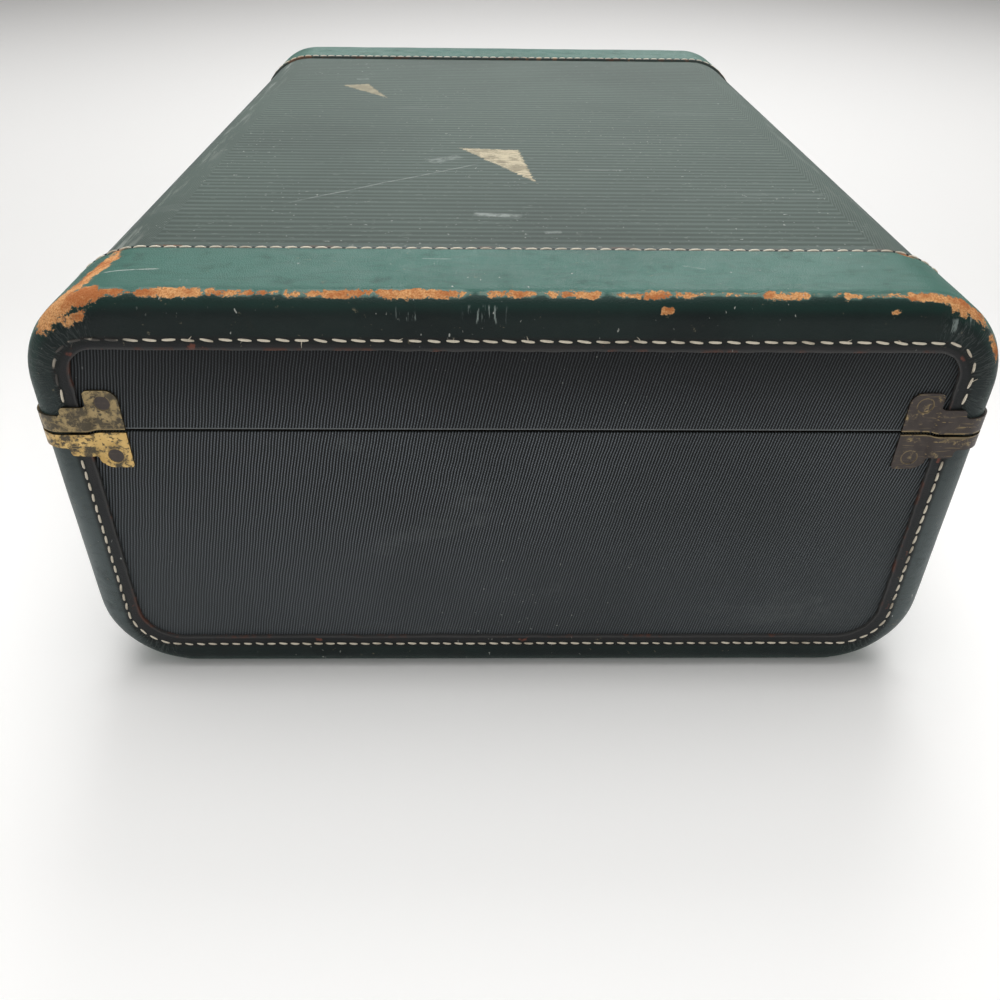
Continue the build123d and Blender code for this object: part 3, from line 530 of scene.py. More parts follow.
def green_hide():
    """Dyed hide with suede showing where it is worn, polished crests with a painted highlight, and creases at
    its corners.
    """
    material, tree, shader, where = new_material("green_hide")
    grain = use_group(tree, hide_group, Vector=where, Size=0.85 * mm)
    seam = use_group(tree, seam_group, Vector=where)
    worn = put(tree, "ShaderNodeAttribute", {"attribute_name": "worn"}).outputs["Fac"]
    edge = put(tree, "ShaderNodeAttribute", {"attribute_name": "cut_edge"}).outputs["Fac"]
    dyed, soil = dyed_colours(tree, where, seam, grain)

    seam_gap = math_node(
        tree,
        "MINIMUM",
        math_node(tree, "ABSOLUTE", seam.outputs["Window"]),
        math_node(tree, "ABSOLUTE", seam.outputs["Band"]),
    )
    # Painted shade: the hide is darkened in the groove beside each seam.
    seam_groove_shade = ramp(tree, seam_gap, 0.5 * mm, 2.0 * mm, 0.8, 0.0)
    dyed = mix_colour(tree, seam_groove_shade, dyed, (0.006, 0.007, 0.007, 1))

    fan = put(
        tree,
        "ShaderNodeCombineXYZ",
        X=times(tree, seam.outputs["Turn"], 13.0),
        Y=times(tree, seam.outputs["Window"], 80.0),
    )
    folds = math_node(tree, "SUBTRACT", noise_node(tree, fan.outputs[0], 1.0, 3, 0.6, 0.5), 0.5)
    folds = ramp(tree, math_node(tree, "ABSOLUTE", folds), 0.0, 0.035, 1.0, 0.0)
    corner = ramp(tree, seam.outputs["Turn"], -1.1, -0.4)
    corner = times(tree, corner, ramp(tree, seam.outputs["Turn"], 1.3, 1.8, 1.0, 0.0))
    reach = times(
        tree,
        ramp(tree, seam.outputs["Window"], 13 * mm, 4 * mm),
        ramp(tree, seam.outputs["Window"], -0.5 * mm, 0.5 * mm),
    )
    fold_lines = times(tree, folds, corner, reach)

    fine = noise_node(tree, where, 620, 4, 0.7)
    coarse = noise_node(tree, stretched(tree, where, 130, 210, 210), 1.0, 4, 0.65)
    ragged = math_node(tree, "ADD", times(tree, coarse, 1.5), times(tree, fine, 1.5))
    level = math_node(tree, "ADD", worn, math_node(tree, "SUBTRACT", ragged, 1.5))
    bare = times(tree, ramp(tree, level, 0.46, 0.54), ramp(tree, worn, 0.04, 0.14))
    rim = math_node(tree, "SUBTRACT", ramp(tree, level, 0.36, 0.47), bare, True)
    axes = put(tree, "ShaderNodeSeparateXYZ", Vector=where).outputs
    endward = math_node(tree, "SUBTRACT", half_length, math_node(tree, "ABSOLUTE", axes["Y"]))
    on_crest = times(tree, ramp(tree, endward, 2.6 * mm, 4.4 * mm), ramp(tree, endward, 9 * mm, 6.5 * mm))
    polish_and_highlight = math_node(tree, "SUBTRACT", times(tree, ramp(tree, worn, 0.18, 0.45), on_crest), bare, True)

    fibre = noise_node(tree, where, 1700, 3, 0.7)
    suede = mix_colour(tree, ramp(tree, fibre, 0.35, 0.65), (0.56, 0.22, 0.070, 1), (0.90, 0.50, 0.22, 1))
    scorch = ramp(tree, noise_node(tree, where, 75, 4, 0.65), 0.46, 0.62, 0.0, 0.8)
    suede = mix_colour(tree, scorch, suede, (0.44, 0.125, 0.034, 1))
    # Painted highlight: a paler green along the polished crest.
    colour = mix_colour(tree, times(tree, polish_and_highlight, 0.8), dyed, (0.130, 0.240, 0.200, 1))
    colour = mix_colour(tree, times(tree, rim, 0.4), colour, (0.30, 0.26, 0.17, 1))
    colour = mix_colour(tree, bare, colour, suede)

    chip = ramp(tree, noise_node(tree, stretched(tree, where, 760, 520, 340), 1.0, 2, 0.5), 0.72, 0.75)
    chip = times(tree, chip, ramp(tree, noise_node(tree, where, 30, 2), 0.48, 0.58))
    colour = mix_colour(tree, times(tree, chip, 0.8), colour, (0.52, 0.54, 0.50, 1))
    ticks = noise_node(tree, stretched(tree, where, 900, 60, 110), 1.0, 3, 0.6)
    on_end = ramp(tree, endward, 6 * mm, 5 * mm)
    for middle, reach, low_z, high_z in tick_fields:
        off = math_node(tree, "ABSOLUTE", math_node(tree, "SUBTRACT", axes["X"], middle))
        field = times(tree, ramp(tree, off, reach, 0.6 * reach), on_end)
        field = times(tree, field, ramp(tree, axes["Z"], low_z, low_z + 1.5 * mm))
        field = times(tree, field, ramp(tree, axes["Z"], high_z, high_z - 1 * mm))
        tick = times(tree, ramp(tree, ticks, 0.56, 0.64), field, 0.75)
        colour = mix_colour(tree, tick, colour, (0.30, 0.36, 0.34, 1))
    for start, end, width, strength in band_scratches:
        mark = stroke_mask(tree, where, start, end, width)
        colour = mix_colour(tree, times(tree, mark, strength), colour, (0.55, 0.60, 0.56, 1))
    cut = mix_colour(tree, ramp(tree, soil, 0.52, 0.64), (0.080, 0.079, 0.078, 1), (0.17, 0.080, 0.060, 1))
    colour = mix_colour(tree, times(tree, edge, 0.8), colour, cut)
    colour = mix_colour(tree, times(tree, fold_lines, 0.42), colour, (0.120, 0.145, 0.140, 1))
    feed(tree, shader, Base_Color=colour)

    rough = ramp(tree, soil, 0.3, 0.8, 0.40, 0.54)
    rough = math_node(tree, "SUBTRACT", rough, times(tree, polish_and_highlight, 0.10))
    rough = math_node(tree, "ADD", rough, times(tree, bare, 0.45), True)
    feed(tree, shader, Roughness=rough)

    pucker = noise_node(tree, stretched(tree, where, 190, 190, 190), 1.0, 2)
    pucker = times(tree, pucker, ramp(tree, seam_gap, 0.4 * mm, 3.2 * mm, 1.2, 0.0))
    relief = math_node(tree, "ADD", times(tree, grain.outputs["Height"], 0.22), pucker)
    relief = math_node(tree, "ADD", relief, times(tree, fold_lines, 1.6))
    relief = math_node(tree, "SUBTRACT", relief, times(tree, bare, 0.8))
    relief = math_node(tree, "ADD", relief, times(tree, bare, fibre, 0.9))
    add_bump(tree, shader, relief, 0.55, 0.35 * mm)
    feed(tree, shader, Specular_IOR_Level=0.22)
    return material


hide = green_hide()
print(hide.name, len(hide.node_tree.nodes), "nodes")

# %% [markdown]
# The cover cloth is dusty slate. It is matt, but its fibres catch light at a glancing angle, which is why
# the lid looks pale from here and the end face nearly black, so it gets some sheen. Its upright faces also
# get painted shade: near-black furrows, and a darkening towards the top of the lid's side.

# %% Torn places
def torn_mask(tree, where, corners):
    """A three-cornered torn place on top of the lid. Its corners go against the clock, in millimetres."""
    nearest = 1.0
    for (x, y), (next_x, next_y) in zip(corners, corners[1:] + corners[:1]):
        length = hypot(next_x - x, next_y - y)
        inward = ((y - next_y) / length, (next_x - x) / length, 0.0)
        reach = put(tree, "ShaderNodeVectorMath", {"operation": "DOT_PRODUCT"}, i0=where, i1=inward)
        offset = (inward[0] * x + inward[1] * y) * mm
        inside = math_node(tree, "SUBTRACT", reach.outputs["Value"], offset)
        nearest = math_node(tree, "MINIMUM", nearest, inside)
    fray = noise_node(tree, stretched(tree, where, 240, 520, 300), 1.0, 4, 0.8)
    fray = times(tree, math_node(tree, "SUBTRACT", fray, 0.5), 7 * mm)
    nearest = math_node(tree, "ADD", nearest, fray)
    height = put(tree, "ShaderNodeSeparateXYZ", Vector=where).outputs["Z"]
    on_top = ramp(tree, height, case_top - 4 * mm, case_top - 3 * mm)
    return times(tree, ramp(tree, nearest, 0.0, 0.35 * mm), on_top)


print("torn places ready")

# %% [markdown]
# The canvas itself is a twill. On the upright sides its ribs are pale threads with dark furrows between them.
# On top it has faded to a dull green, and it carries the two torn places and a few scratches.

# %% Cover cloth
torn_places = [
    [(-23, -46), (11, -101), (5, -49)],
    [(-97, 96), (-67.5, 63), (-82, 101)],
]
scratches = [
    ((-0.093, -0.134), (-0.012, -0.071), 0.8 * mm, 0.5),
    ((-0.091, 0.114), (-0.083, 0.116), 3.5 * mm, 0.5),
    ((-0.037, -0.071), (-0.022, -0.060), 4.5 * mm, 0.45),
    ((-0.016, -0.144), (0.004, -0.146), 3.0 * mm, 0.75),
    ((0.011, -0.165), (0.018, -0.164), 2.0 * mm, 0.6),
    ((0.030, -0.082), (0.052, -0.081), 0.7 * mm, 0.6),
]


def cover_cloth():
    """Slate twill: greener where daylight faded it on top, with dust, rubbed edges and torn places."""
    material, tree, shader, where = new_material("slate_twill")
    flat = put(tree, "ShaderNodeUVMap").outputs[0]
    weave = use_group(tree, twill_group, UV=flat)
    axes = put(tree, "ShaderNodeSeparateXYZ", Vector=where).outputs
    top = ramp(tree, axes["Z"], case_top - 14 * mm, case_top - 3 * mm)
    upright = math_node(tree, "SUBTRACT", 1.0, top)
    deep = ramp(tree, axes["Z"], 30 * mm, joint + 5 * mm)
    crown = mix_colour(tree, deep, (0.150, 0.168, 0.187, 1), (0.215, 0.241, 0.268, 1))
    crown = mix_colour(tree, top, crown, (0.102, 0.136, 0.119, 1))
    # Painted shade: the hollows between the ribs are near black high on the upright sides, and paler low
    # down.
    shaded_hollow = mix_colour(tree, deep, (0.045, 0.050, 0.056, 1), (0.001, 0.001, 0.002, 1))
    shaded_hollow = mix_colour(tree, top, shaded_hollow, (0.057, 0.079, 0.068, 1))
    threads = times(tree, weave.outputs["Height"], upright)
    threads = math_node(tree, "ADD", threads, times(tree, weave.outputs["Ribs"], top))
    body = mix_colour(tree, threads, shaded_hollow, crown)
    slub = ramp(tree, weave.outputs["Slub"], 0.45, 0.7, 0.0, 0.22)
    body = mix_colour(tree, slub, body, (0.085, 0.105, 0.10, 1))
    wide = ramp(tree, noise_node(tree, where, 9, 4, 0.6), 0.35, 0.7, 0.0, 0.3)
    body = mix_colour(tree, wide, body, (0.024, 0.030, 0.029, 1))
    shade = times(tree, ramp(tree, axes["Z"], joint - 8 * mm, case_top - 20 * mm, 0.1, 0.78), upright)
    body = mix_colour(tree, shade, body, (0.004, 0.005, 0.006, 1))

    inward = math_node(tree, "SUBTRACT", half_width, math_node(tree, "ABSOLUTE", axes["X"]))
    speck = ramp(tree, noise_node(tree, where, 560, 2, 0.5), 0.70, 0.75)
    fields = ramp(tree, noise_node(tree, where, 14, 3), 0.46, 0.62, 0.12, 1.0)
    by_band = ramp(tree, axes["Y"], -120 * mm, -170 * mm, 0.0, 0.8)
    fields = math_node(tree, "MAXIMUM", fields, times(tree, by_band, top))
    body = mix_colour(tree, times(tree, speck, fields, 0.7), body, (0.48, 0.51, 0.48, 1))
    lint = ramp(tree, noise_node(tree, stretched(tree, where, 240, 900, 500), 1.0, 2), 0.66, 0.72)
    body = mix_colour(tree, times(tree, lint, top, 0.35), body, (0.26, 0.30, 0.27, 1))
    # Painted reflection: the upright sides are paler towards the long edges of the case.
    sideways = times(tree, ramp(tree, inward, 70 * mm, 18 * mm, 0.0, 0.35), upright)
    body = mix_colour(tree, sideways, body, (0.085, 0.095, 0.102, 1))
    # Painted shade: the furrows between ribs are darkened once more, most of all high on the upright sides.
    depth = ramp(tree, axes["Z"], 30 * mm, joint + 5 * mm, 0.3, 1.0)
    furrow_shade = times(tree, ramp(tree, weave.outputs["Ribs"], 0.1, 1.0, 1.0, 0.0), depth, upright)
    body = mix_colour(tree, furrow_shade, body, (0.001, 0.001, 0.002, 1))
    # Painted highlight: a pale line along the folded rim of the lid, just above the joint.
    rim_fold_highlight = ramp(tree, math_node(tree, "SUBTRACT", axes["Z"], lid_rim), 0.55 * mm, 0.35 * mm)
    rim_fold_highlight = times(tree, rim_fold_highlight, ramp(tree, axes["Z"], joint, joint + 0.2 * mm))
    body = mix_colour(tree, times(tree, rim_fold_highlight, 0.8), body, (0.19, 0.205, 0.21, 1))
    smear = noise_node(tree, stretched(tree, where, 8, 30, 20), 1.0, 5, 0.7)
    body = mix_colour(tree, ramp(tree, smear, 0.6, 0.75, 0.0, 0.12), body, (0.30, 0.33, 0.32, 1))
    edge = ramp(tree, inward, 21 * mm, 34 * mm, 1.0, 0.0)
    edge = times(tree, ramp(tree, inward, 6 * mm, 14 * mm), edge, top)
    rub = noise_node(tree, stretched(tree, where, 260, 26, 260), 1.0, 4, 0.7)
    rub = times(tree, ramp(tree, rub, 0.50, 0.66), edge, ramp(tree, axes["X"], 0.0, -0.1, 0.25, 0.6))
    body = mix_colour(tree, rub, body, (0.36, 0.38, 0.35, 1))
    for start, end, width, strength in scratches:
        mark = stroke_mask(tree, where, start, end, width)
        body = mix_colour(tree, times(tree, mark, strength), body, (0.34, 0.38, 0.36, 1))

    torn = math_node(tree, "MAXIMUM", *[torn_mask(tree, where, corners) for corners in torn_places])
    strands = noise_node(tree, stretched(tree, where, 160, 900, 300), 1.0, 4, 0.7)
    stain = ramp(tree, noise_node(tree, where, 130, 4, 0.7), 0.45, 0.60)
    paper_remains = mix_colour(tree, stain, (0.60, 0.52, 0.36, 1), (0.36, 0.31, 0.21, 1))
    strands = ramp(tree, strands, 0.50, 0.62, 0.0, 0.75)
    paper_remains = mix_colour(tree, strands, paper_remains, (0.16, 0.12, 0.075, 1))
    backward = ramp(tree, axes["Y"], 0.0, 40 * mm, 0.0, 0.65)
    paper_remains = mix_colour(tree, backward, paper_remains, (0.24, 0.21, 0.14, 1))
    body = mix_colour(tree, torn, body, paper_remains)
    feed(tree, shader, Base_Color=body)
    feed(tree, shader, Roughness=0.74, Specular_IOR_Level=0.30)
    feed(tree, shader, Sheen_Weight=0.15, Sheen_Roughness=0.4, Sheen_Tint=(0.72, 1.0, 0.88, 1))
    weave_height = times(tree, weave.outputs["Ribs"], ramp(tree, torn, 0.0, 1.0, 1.0, 0.25))
    weave_height = times(tree, weave_height, ramp(tree, top, 0.0, 1.0, 1.0, 0.45))
    add_bump(tree, shader, weave_height, 0.9, 0.16 * mm)
    return material


cloth = cover_cloth()
print(cloth.name, len(cloth.node_tree.nodes), "nodes")

# %% [markdown]
# The metal is brass under a brown tarnish. How much of it is rubbed bare differs from plate to plate, so
# the tarnish is a group with that share as an input. It also brightens the lips along the joint and the
# ring round each nail, where a thumb or a cloth gets to.

# %% Tarnish group
nail_setback = 24.5 * mm
nail_rise = 10.5 * mm
nail_middle = joint + 0.5 * mm
ring_radius = 2.8 * mm

tarnish_group = group_tree(
    "tarnish",
    [
        ("Vector", "NodeSocketVector", (0, 0, 0)),
        ("Share", "NodeSocketFloat", 0.5),
        ("Scratches", "NodeSocketFloat", 0.5),
    ],
    [("Bare", "NodeSocketFloat"), ("Height", "NodeSocketFloat")],
)
tarnish_in = tarnish_group.nodes["In"].outputs
spot = tarnish_in["Vector"]
wanted = times(tarnish_group, tarnish_in["Share"], -0.3)
low_level = math_node(tarnish_group, "ADD", wanted, 0.60)
high_level = math_node(tarnish_group, "ADD", wanted, 0.76)
bare_patch = ramp(tarnish_group, noise_node(tarnish_group, spot, 210, 5, 0.7), low_level, high_level)
lines = 0.0
for lean, pitch in ((48, 2300), (30, 1900), (64, 2900)):
    turned = put(
        tarnish_group,
        "ShaderNodeMapping",
        Vector=spot,
        Rotation=(0.0, radians(lean), 0.0),
        Scale=(70, 900, pitch),
    )
    line = ramp(tarnish_group, noise_node(tarnish_group, turned.outputs[0], 1.0, 2, 0.4), 0.66, 0.74)
    lines = math_node(tarnish_group, "MAXIMUM", lines, line)
lines = times(tarnish_group, lines, tarnish_in["Scratches"])
axes = put(tarnish_group, "ShaderNodeSeparateXYZ", Vector=spot).outputs
from_joint = math_node(tarnish_group, "ABSOLUTE", math_node(tarnish_group, "SUBTRACT", axes["Z"], joint))
lip = ramp(tarnish_group, from_joint, 1.3 * mm, 0.8 * mm, 0.0, 0.7)
rise = math_node(tarnish_group, "ABSOLUTE", math_node(tarnish_group, "SUBTRACT", axes["Z"], nail_middle))
rise = math_node(tarnish_group, "SUBTRACT", rise, nail_rise)
rise = times(tarnish_group, rise, rise)
ring_gap = 1.0
for axis, reach in (("X", half_width), ("Y", half_length)):
    across = math_node(tarnish_group, "ABSOLUTE", axes[axis])
    across = math_node(tarnish_group, "SUBTRACT", across, reach - nail_setback)
    across = times(tarnish_group, across, across)
    distance = math_node(tarnish_group, "SQRT", math_node(tarnish_group, "ADD", across, rise))
    gap = math_node(tarnish_group, "ABSOLUTE", math_node(tarnish_group, "SUBTRACT", distance, ring_radius))
    ring_gap = math_node(tarnish_group, "MINIMUM", ring_gap, gap)
ring = ramp(tarnish_group, ring_gap, 0.12 * mm, 0.35 * mm, 0.5, 0.0)
pits = noise_node(tarnish_group, stretched(tarnish_group, spot, 700, 500, 900), 1.0, 4)
pits = ramp(tarnish_group, pits, 0.55, 0.62)
rubbed = math_node(tarnish_group, "MAXIMUM", bare_patch, math_node(tarnish_group, "MAXIMUM", lines, lip))
rubbed = math_node(tarnish_group, "MAXIMUM", rubbed, ring)
rubbed = math_node(tarnish_group, "SUBTRACT", rubbed, times(tarnish_group, pits, 0.8), True)
dents = noise_node(tarnish_group, spot, 260, 4, 0.6)
dents = math_node(tarnish_group, "SUBTRACT", dents, times(tarnish_group, lines, 0.3))
feed(tarnish_group, tarnish_group.nodes["Out"], Bare=rubbed, Height=dents)
print("tarnish", len(tarnish_group.nodes), "nodes")

# %% [markdown]
# Lining, straps and thread need less work, because they are small in the picture or lie inside, but each
# still gets its own grain and its own wear.

# %% Lining cloth
def plain_cloth(name, light, dark, rib):
    """A simple woven cloth of two tones."""
    material, tree, shader, where = new_material(name)
    flat = put(tree, "ShaderNodeUVMap").outputs[0]
    weave = use_group(tree, twill_group, UV=flat, Rib=rib, Steepness=0.0)
    colour = mix_colour(tree, weave.outputs["Height"], dark, light)
    stain = ramp(tree, noise_node(tree, where, 12, 4, 0.6), 0.5, 0.75, 0.0, 0.35)
    colour = mix_colour(tree, stain, colour, tuple(0.6 * value for value in dark[:3]) + (1,))
    feed(tree, shader, Base_Color=colour)
    feed(tree, shader, Roughness=0.85)
    add_bump(tree, shader, weave.outputs["Height"], 0.6, 0.12 * mm)
    return material


lining_cotton = plain_cloth("lining_cotton", (0.52, 0.44, 0.30, 1), (0.36, 0.29, 0.19, 1), 0.7 * mm)
pocket_cotton = plain_cloth("pocket_cotton", (0.50, 0.42, 0.29, 1), (0.34, 0.27, 0.18, 1), 0.8 * mm)
print("lining and pocket cloth ready")

# %% [markdown]
# Each brass is tarnish over metal, so it takes a pair of tones for the tarnish and a pair for the gold.

# %% Tones of the metal
purple_browns = ((0.032, 0.025, 0.023, 1), (0.078, 0.063, 0.056, 1))
olive_browns = ((0.045, 0.036, 0.024, 1), (0.115, 0.095, 0.060, 1))
fitting_browns = ((0.13, 0.090, 0.040, 1), (0.24, 0.170, 0.075, 1))
bright_golds = ((0.34, 0.21, 0.065, 1), (0.76, 0.54, 0.23, 1))
dull_golds = ((0.19, 0.145, 0.075, 1), (0.42, 0.32, 0.17, 1))
print("tones of tarnish and gold ready")

# %% [markdown]
# The sewing thread is waxed linen, pale and a little soiled, with its lay as fine slanting ridges.

# %% Waxed thread
def thread_wax():
    """Waxed linen thread, cream, greyed in places and nearly black at the rubbed lid corner."""
    material, tree, shader, where = new_material("waxed_thread")
    grime = ramp(tree, noise_node(tree, where, 70, 4, 0.6), 0.46, 0.72)
    colour = mix_colour(tree, grime, (0.90, 0.82, 0.67, 1), (0.42, 0.36, 0.27, 1))
    axes = put(tree, "ShaderNodeSeparateXYZ", Vector=where).outputs
    nearness = ramp(tree, axes["Y"], -half_length + 30 * mm, -half_length + 10 * mm)
    risen = ramp(tree, axes["Z"], joint + 16 * mm, joint + 18 * mm)
    corner = times(tree, ramp(tree, axes["X"], -122 * mm, -131 * mm), risen, nearness)
    spared = ramp(tree, noise_node(tree, where, 180, 2), 0.52, 0.60, 0.94, 0.55)
    colour = mix_colour(tree, times(tree, corner, spared), colour, (0.020, 0.019, 0.020, 1))
    strand = put(tree, "ShaderNodeTexWave", {"bands_direction": "DIAGONAL"}, Vector=where, Scale=900.0)
    feed(tree, shader, Base_Color=colour)
    feed(tree, shader, Roughness=0.6)
    add_bump(tree, shader, strand.outputs["Fac"], 0.5, 0.1 * mm)
    return material


thread = thread_wax()
print(thread.name, len(thread.node_tree.nodes), "nodes")

# %% [markdown]
# The brasses differ in how much is rubbed bare and in their tones. The pins and springs are drawn steel.

# %% Metals
def old_brass(name, share, scratches=0.5, browns=olive_browns, golds=bright_golds):
    """Brass under a tarnish of two browns, bare over some share of it."""
    material, tree, shader, where = new_material(name)
    tarnish = use_group(tree, tarnish_group, Vector=where, Share=share, Scratches=scratches)
    dark = mix_colour(tree, noise_node(tree, where, 300, 4, 0.6), *browns)
    gold = mix_colour(tree, noise_node(tree, where, 240, 4), *golds)
    feed(tree, shader, Base_Color=mix_colour(tree, tarnish.outputs["Bare"], dark, gold))
    feed(tree, shader, Metallic=ramp(tree, tarnish.outputs["Bare"], 0.0, 1.0, 0.5, 1.0))
    feed(tree, shader, Roughness=ramp(tree, tarnish.outputs["Bare"], 0.0, 1.0, 0.46, 0.32))
    add_bump(tree, shader, tarnish.outputs["Height"], 0.45, 0.12 * mm)
    return material


def drawn_steel():
    """Pins and springs."""
    material, tree, shader, where = new_material("drawn_steel")
    grime = ramp(tree, noise_node(tree, where, 240, 4), 0.4, 0.7)
    feed(tree, shader, Base_Color=mix_colour(tree, grime, (0.42, 0.41, 0.39, 1), (0.16, 0.12, 0.09, 1)))
    feed(tree, shader, Metallic=1.0)
    feed(tree, shader, Roughness=ramp(tree, grime, 0, 1, 0.3, 0.6))
    return material


dark_plate = old_brass("tarnished_brass", 0.15, 0.8, purple_browns, dull_golds)
bronze_plate = old_brass("bronzed_brass", 0.60, 0.5, olive_browns, dull_golds)
bright_plate = old_brass("rubbed_brass", 0.70, 0.6)
fitting_metal = old_brass("fitting_brass", 0.8, 0.3, fitting_browns)
nail_metal = old_brass("nail_brass", 0.05, 0.15, purple_browns, dull_golds)
steel = drawn_steel()
print("metals", len(tarnish_group.nodes), "nodes of tarnish in each brass")

# %% [markdown]
# The rest is the bare board and the wooden tongue, darkened beside the joint as painted shade, the plain hide
# of straps and grip, and the painted shade in the holes of the awl.

# %% Board, plain hide and painted shade
def bare_board(name, light, dark, stretch):
    """Wood or board with its fibres along one axis, darkened beside the joint with painted shade."""
    material, tree, shader, where = new_material(name)
    fibres = noise_node(tree, stretched(tree, where, *stretch), 1.0, 5, 0.6)
    colour = mix_colour(tree, ramp(tree, fibres, 0.3, 0.7), dark, light)
    height = put(tree, "ShaderNodeSeparateXYZ", Vector=where).outputs["Z"]
    from_joint = math_node(tree, "ABSOLUTE", math_node(tree, "SUBTRACT", height, joint))
    # Painted shade: board and tongue go near black beside the joint, so the gap between lid and base reads
    # dark.
    joint_gap_shade = ramp(tree, from_joint, 2 * mm, 4 * mm, 0.96, 0.0)
    colour = mix_colour(tree, joint_gap_shade, colour, (0.006, 0.005, 0.005, 1))
    feed(tree, shader, Base_Color=colour)
    feed(tree, shader, Roughness=0.7)
    add_bump(tree, shader, fibres, 0.4, 0.15 * mm)
    return material


def plain_hide(name, light, dark, rubbed):
    """Leather of two tones, rubbed through in a few small patches."""
    material, tree, shader, where = new_material(name)
    grain = use_group(tree, hide_group, Vector=where, Size=0.7 * mm)
    tone = noise_node(tree, where, 30, 4)
    colour = mix_colour(tree, ramp(tree, tone, 0.35, 0.7), light, dark)
    patches = ramp(tree, noise_node(tree, where, 110, 5, 0.7), 0.63, 0.68, 0.0, 0.8)
    colour = mix_colour(tree, patches, colour, rubbed)
    feed(tree, shader, Base_Color=colour)
    feed(tree, shader, Roughness=ramp(tree, grain.outputs["Crease"], 0, 1, 0.45, 0.6))
    add_bump(tree, shader, grain.outputs["Height"], 0.5, 0.2 * mm)
    return material


def pit_shadow():
    """Painted shade in an awl hole: near black, mottled by noise."""
    material, tree, shader, where = new_material("pit_shadow")
    grime = noise_node(tree, where, 700, 2)
    colour = mix_colour(tree, grime, (0.004, 0.004, 0.004, 1), (0.016, 0.012, 0.010, 1))
    feed(tree, shader, Base_Color=colour, Roughness=0.9)
    return material


case_board = bare_board("case_board", (0.36, 0.27, 0.16, 1), (0.22, 0.16, 0.10, 1), (120, 120, 120))
# The tongue is stained dark, and darker still so that it reads as shade through the gap at the joint.
rim_wood = bare_board("stained_rim_gap_shade", (0.050, 0.032, 0.020, 1), (0.022, 0.014, 0.010, 1), (60, 60, 900))
strap_tones = ((0.20, 0.085, 0.035, 1), (0.11, 0.045, 0.020, 1), (0.26, 0.13, 0.06, 1))
grip_tones = ((0.016, 0.062, 0.047, 1), (0.008, 0.026, 0.021, 1), (0.24, 0.105, 0.050, 1))
brown_strap = plain_hide("strap_hide", *strap_tones)
green_grip = plain_hide("grip_hide", *grip_tones)
pit_dark = pit_shadow()
print("materials", len(bpy.data.materials))

# %% [markdown]
# Hide, canvas and lining are all skins of one rounded box, so one function makes that box, taken in by
# any amount. It goes as by hand: a cube, its four long edges bevelled wide, then the rim of each end face
# bevelled small. In edit mode, faces and edges are chosen in code by where they point.

# %% Rounded case form
def pick(kind, test):
    """In edit mode, selects only what passes a test: FACE, EDGE or VERT. Says how many."""
    bpy.ops.mesh.select_mode(type=kind)
    bpy.ops.mesh.select_all(action="DESELECT")
    form = bmesh.from_edit_mesh(bpy.context.object.data)
    sorts = {"FACE": form.faces, "EDGE": form.edges, "VERT": form.verts}
    chosen = [item for item in sorts[kind] if test(item)]
    for item in chosen:
        item.select_set(True)
    bmesh.update_edit_mesh(bpy.context.object.data)
    return len(chosen)


def runs_along(edge, axis, least=0.0):
    """True where an edge is straight along one axis and longer than the least."""
    step = edge.verts[1].co - edge.verts[0].co
    return step.length > least and abs(step[axis]) > 0.9999 * step.length


def case_form(name, inset, corner_steps, roll_steps):
    """The outside of the case, taken in by an inset, left in edit mode."""
    clear_selection()
    bpy.ops.mesh.primitive_cube_add(
        size=2,
        location=(0, 0, case_top / 2),
        scale=(half_width - inset, half_length - inset, case_top / 2 - inset),
    )
    form = bpy.context.object
    form.name = name
    bpy.ops.object.transform_apply(location=True, rotation=False, scale=True)
    bpy.ops.object.mode_set(mode="EDIT")
    pick("EDGE", lambda edge: runs_along(edge, 1))
    bpy.ops.mesh.bevel(offset=corner_radius - inset, segments=corner_steps, clamp_overlap=False)
    pick("FACE", lambda face: abs(face.normal.y) > 0.9)
    bpy.ops.mesh.region_to_loop()
    bpy.ops.mesh.bevel(offset=end_roll - inset, segments=roll_steps, clamp_overlap=False)
    return form


def cut_off(place, direction):
    """Cuts the mesh in edit mode with a plane and drops the side that the direction points to."""
    bpy.ops.mesh.select_all(action="SELECT")
    bpy.ops.mesh.bisect(plane_co=place, plane_no=direction, clear_outer=True)


def slice_along(axis, pitch):
    """Slices the long straight runs along one axis into even steps of about this pitch."""
    longest = 5 * pitch
    form = bmesh.from_edit_mesh(bpy.context.object.data)
    longest_edge = max(edge.calc_length() for edge in form.edges if runs_along(edge, axis, longest))
    halves = ceil(longest_edge / (100 * pitch))
    if halves > 1:
        pick("EDGE", lambda edge: runs_along(edge, axis, longest))
        bpy.ops.mesh.subdivide(number_cuts=halves - 1)
    pick("EDGE", lambda edge: runs_along(edge, axis, longest))
    bpy.ops.mesh.subdivide(number_cuts=round(longest_edge / halves / pitch) - 1)


def apply_modifier(obj, name, kind, **settings):
    """Adds a modifier and applies it at once."""
    clear_selection()
    bpy.context.view_layer.objects.active = obj
    obj.select_set(True)
    modifier = obj.modifiers.new(name, kind)
    for key, value in settings.items():
        setattr(modifier, key, value)
    bpy.ops.object.modifier_apply(modifier=name)


def copy_of(source, name):
    """A copy with its own mesh, active and alone in the selection."""
    clear_selection()
    twin = source.copy()
    twin.data = source.data.copy()
    twin.name = twin.data.name = name
    bpy.context.scene.collection.objects.link(twin)
    twin.select_set(True)
    bpy.context.view_layer.objects.active = twin
    return twin


def drop(obj):
    """Takes away a helper object and its mesh."""
    mesh = obj.data
    bpy.data.objects.remove(obj)
    bpy.data.meshes.remove(mesh)


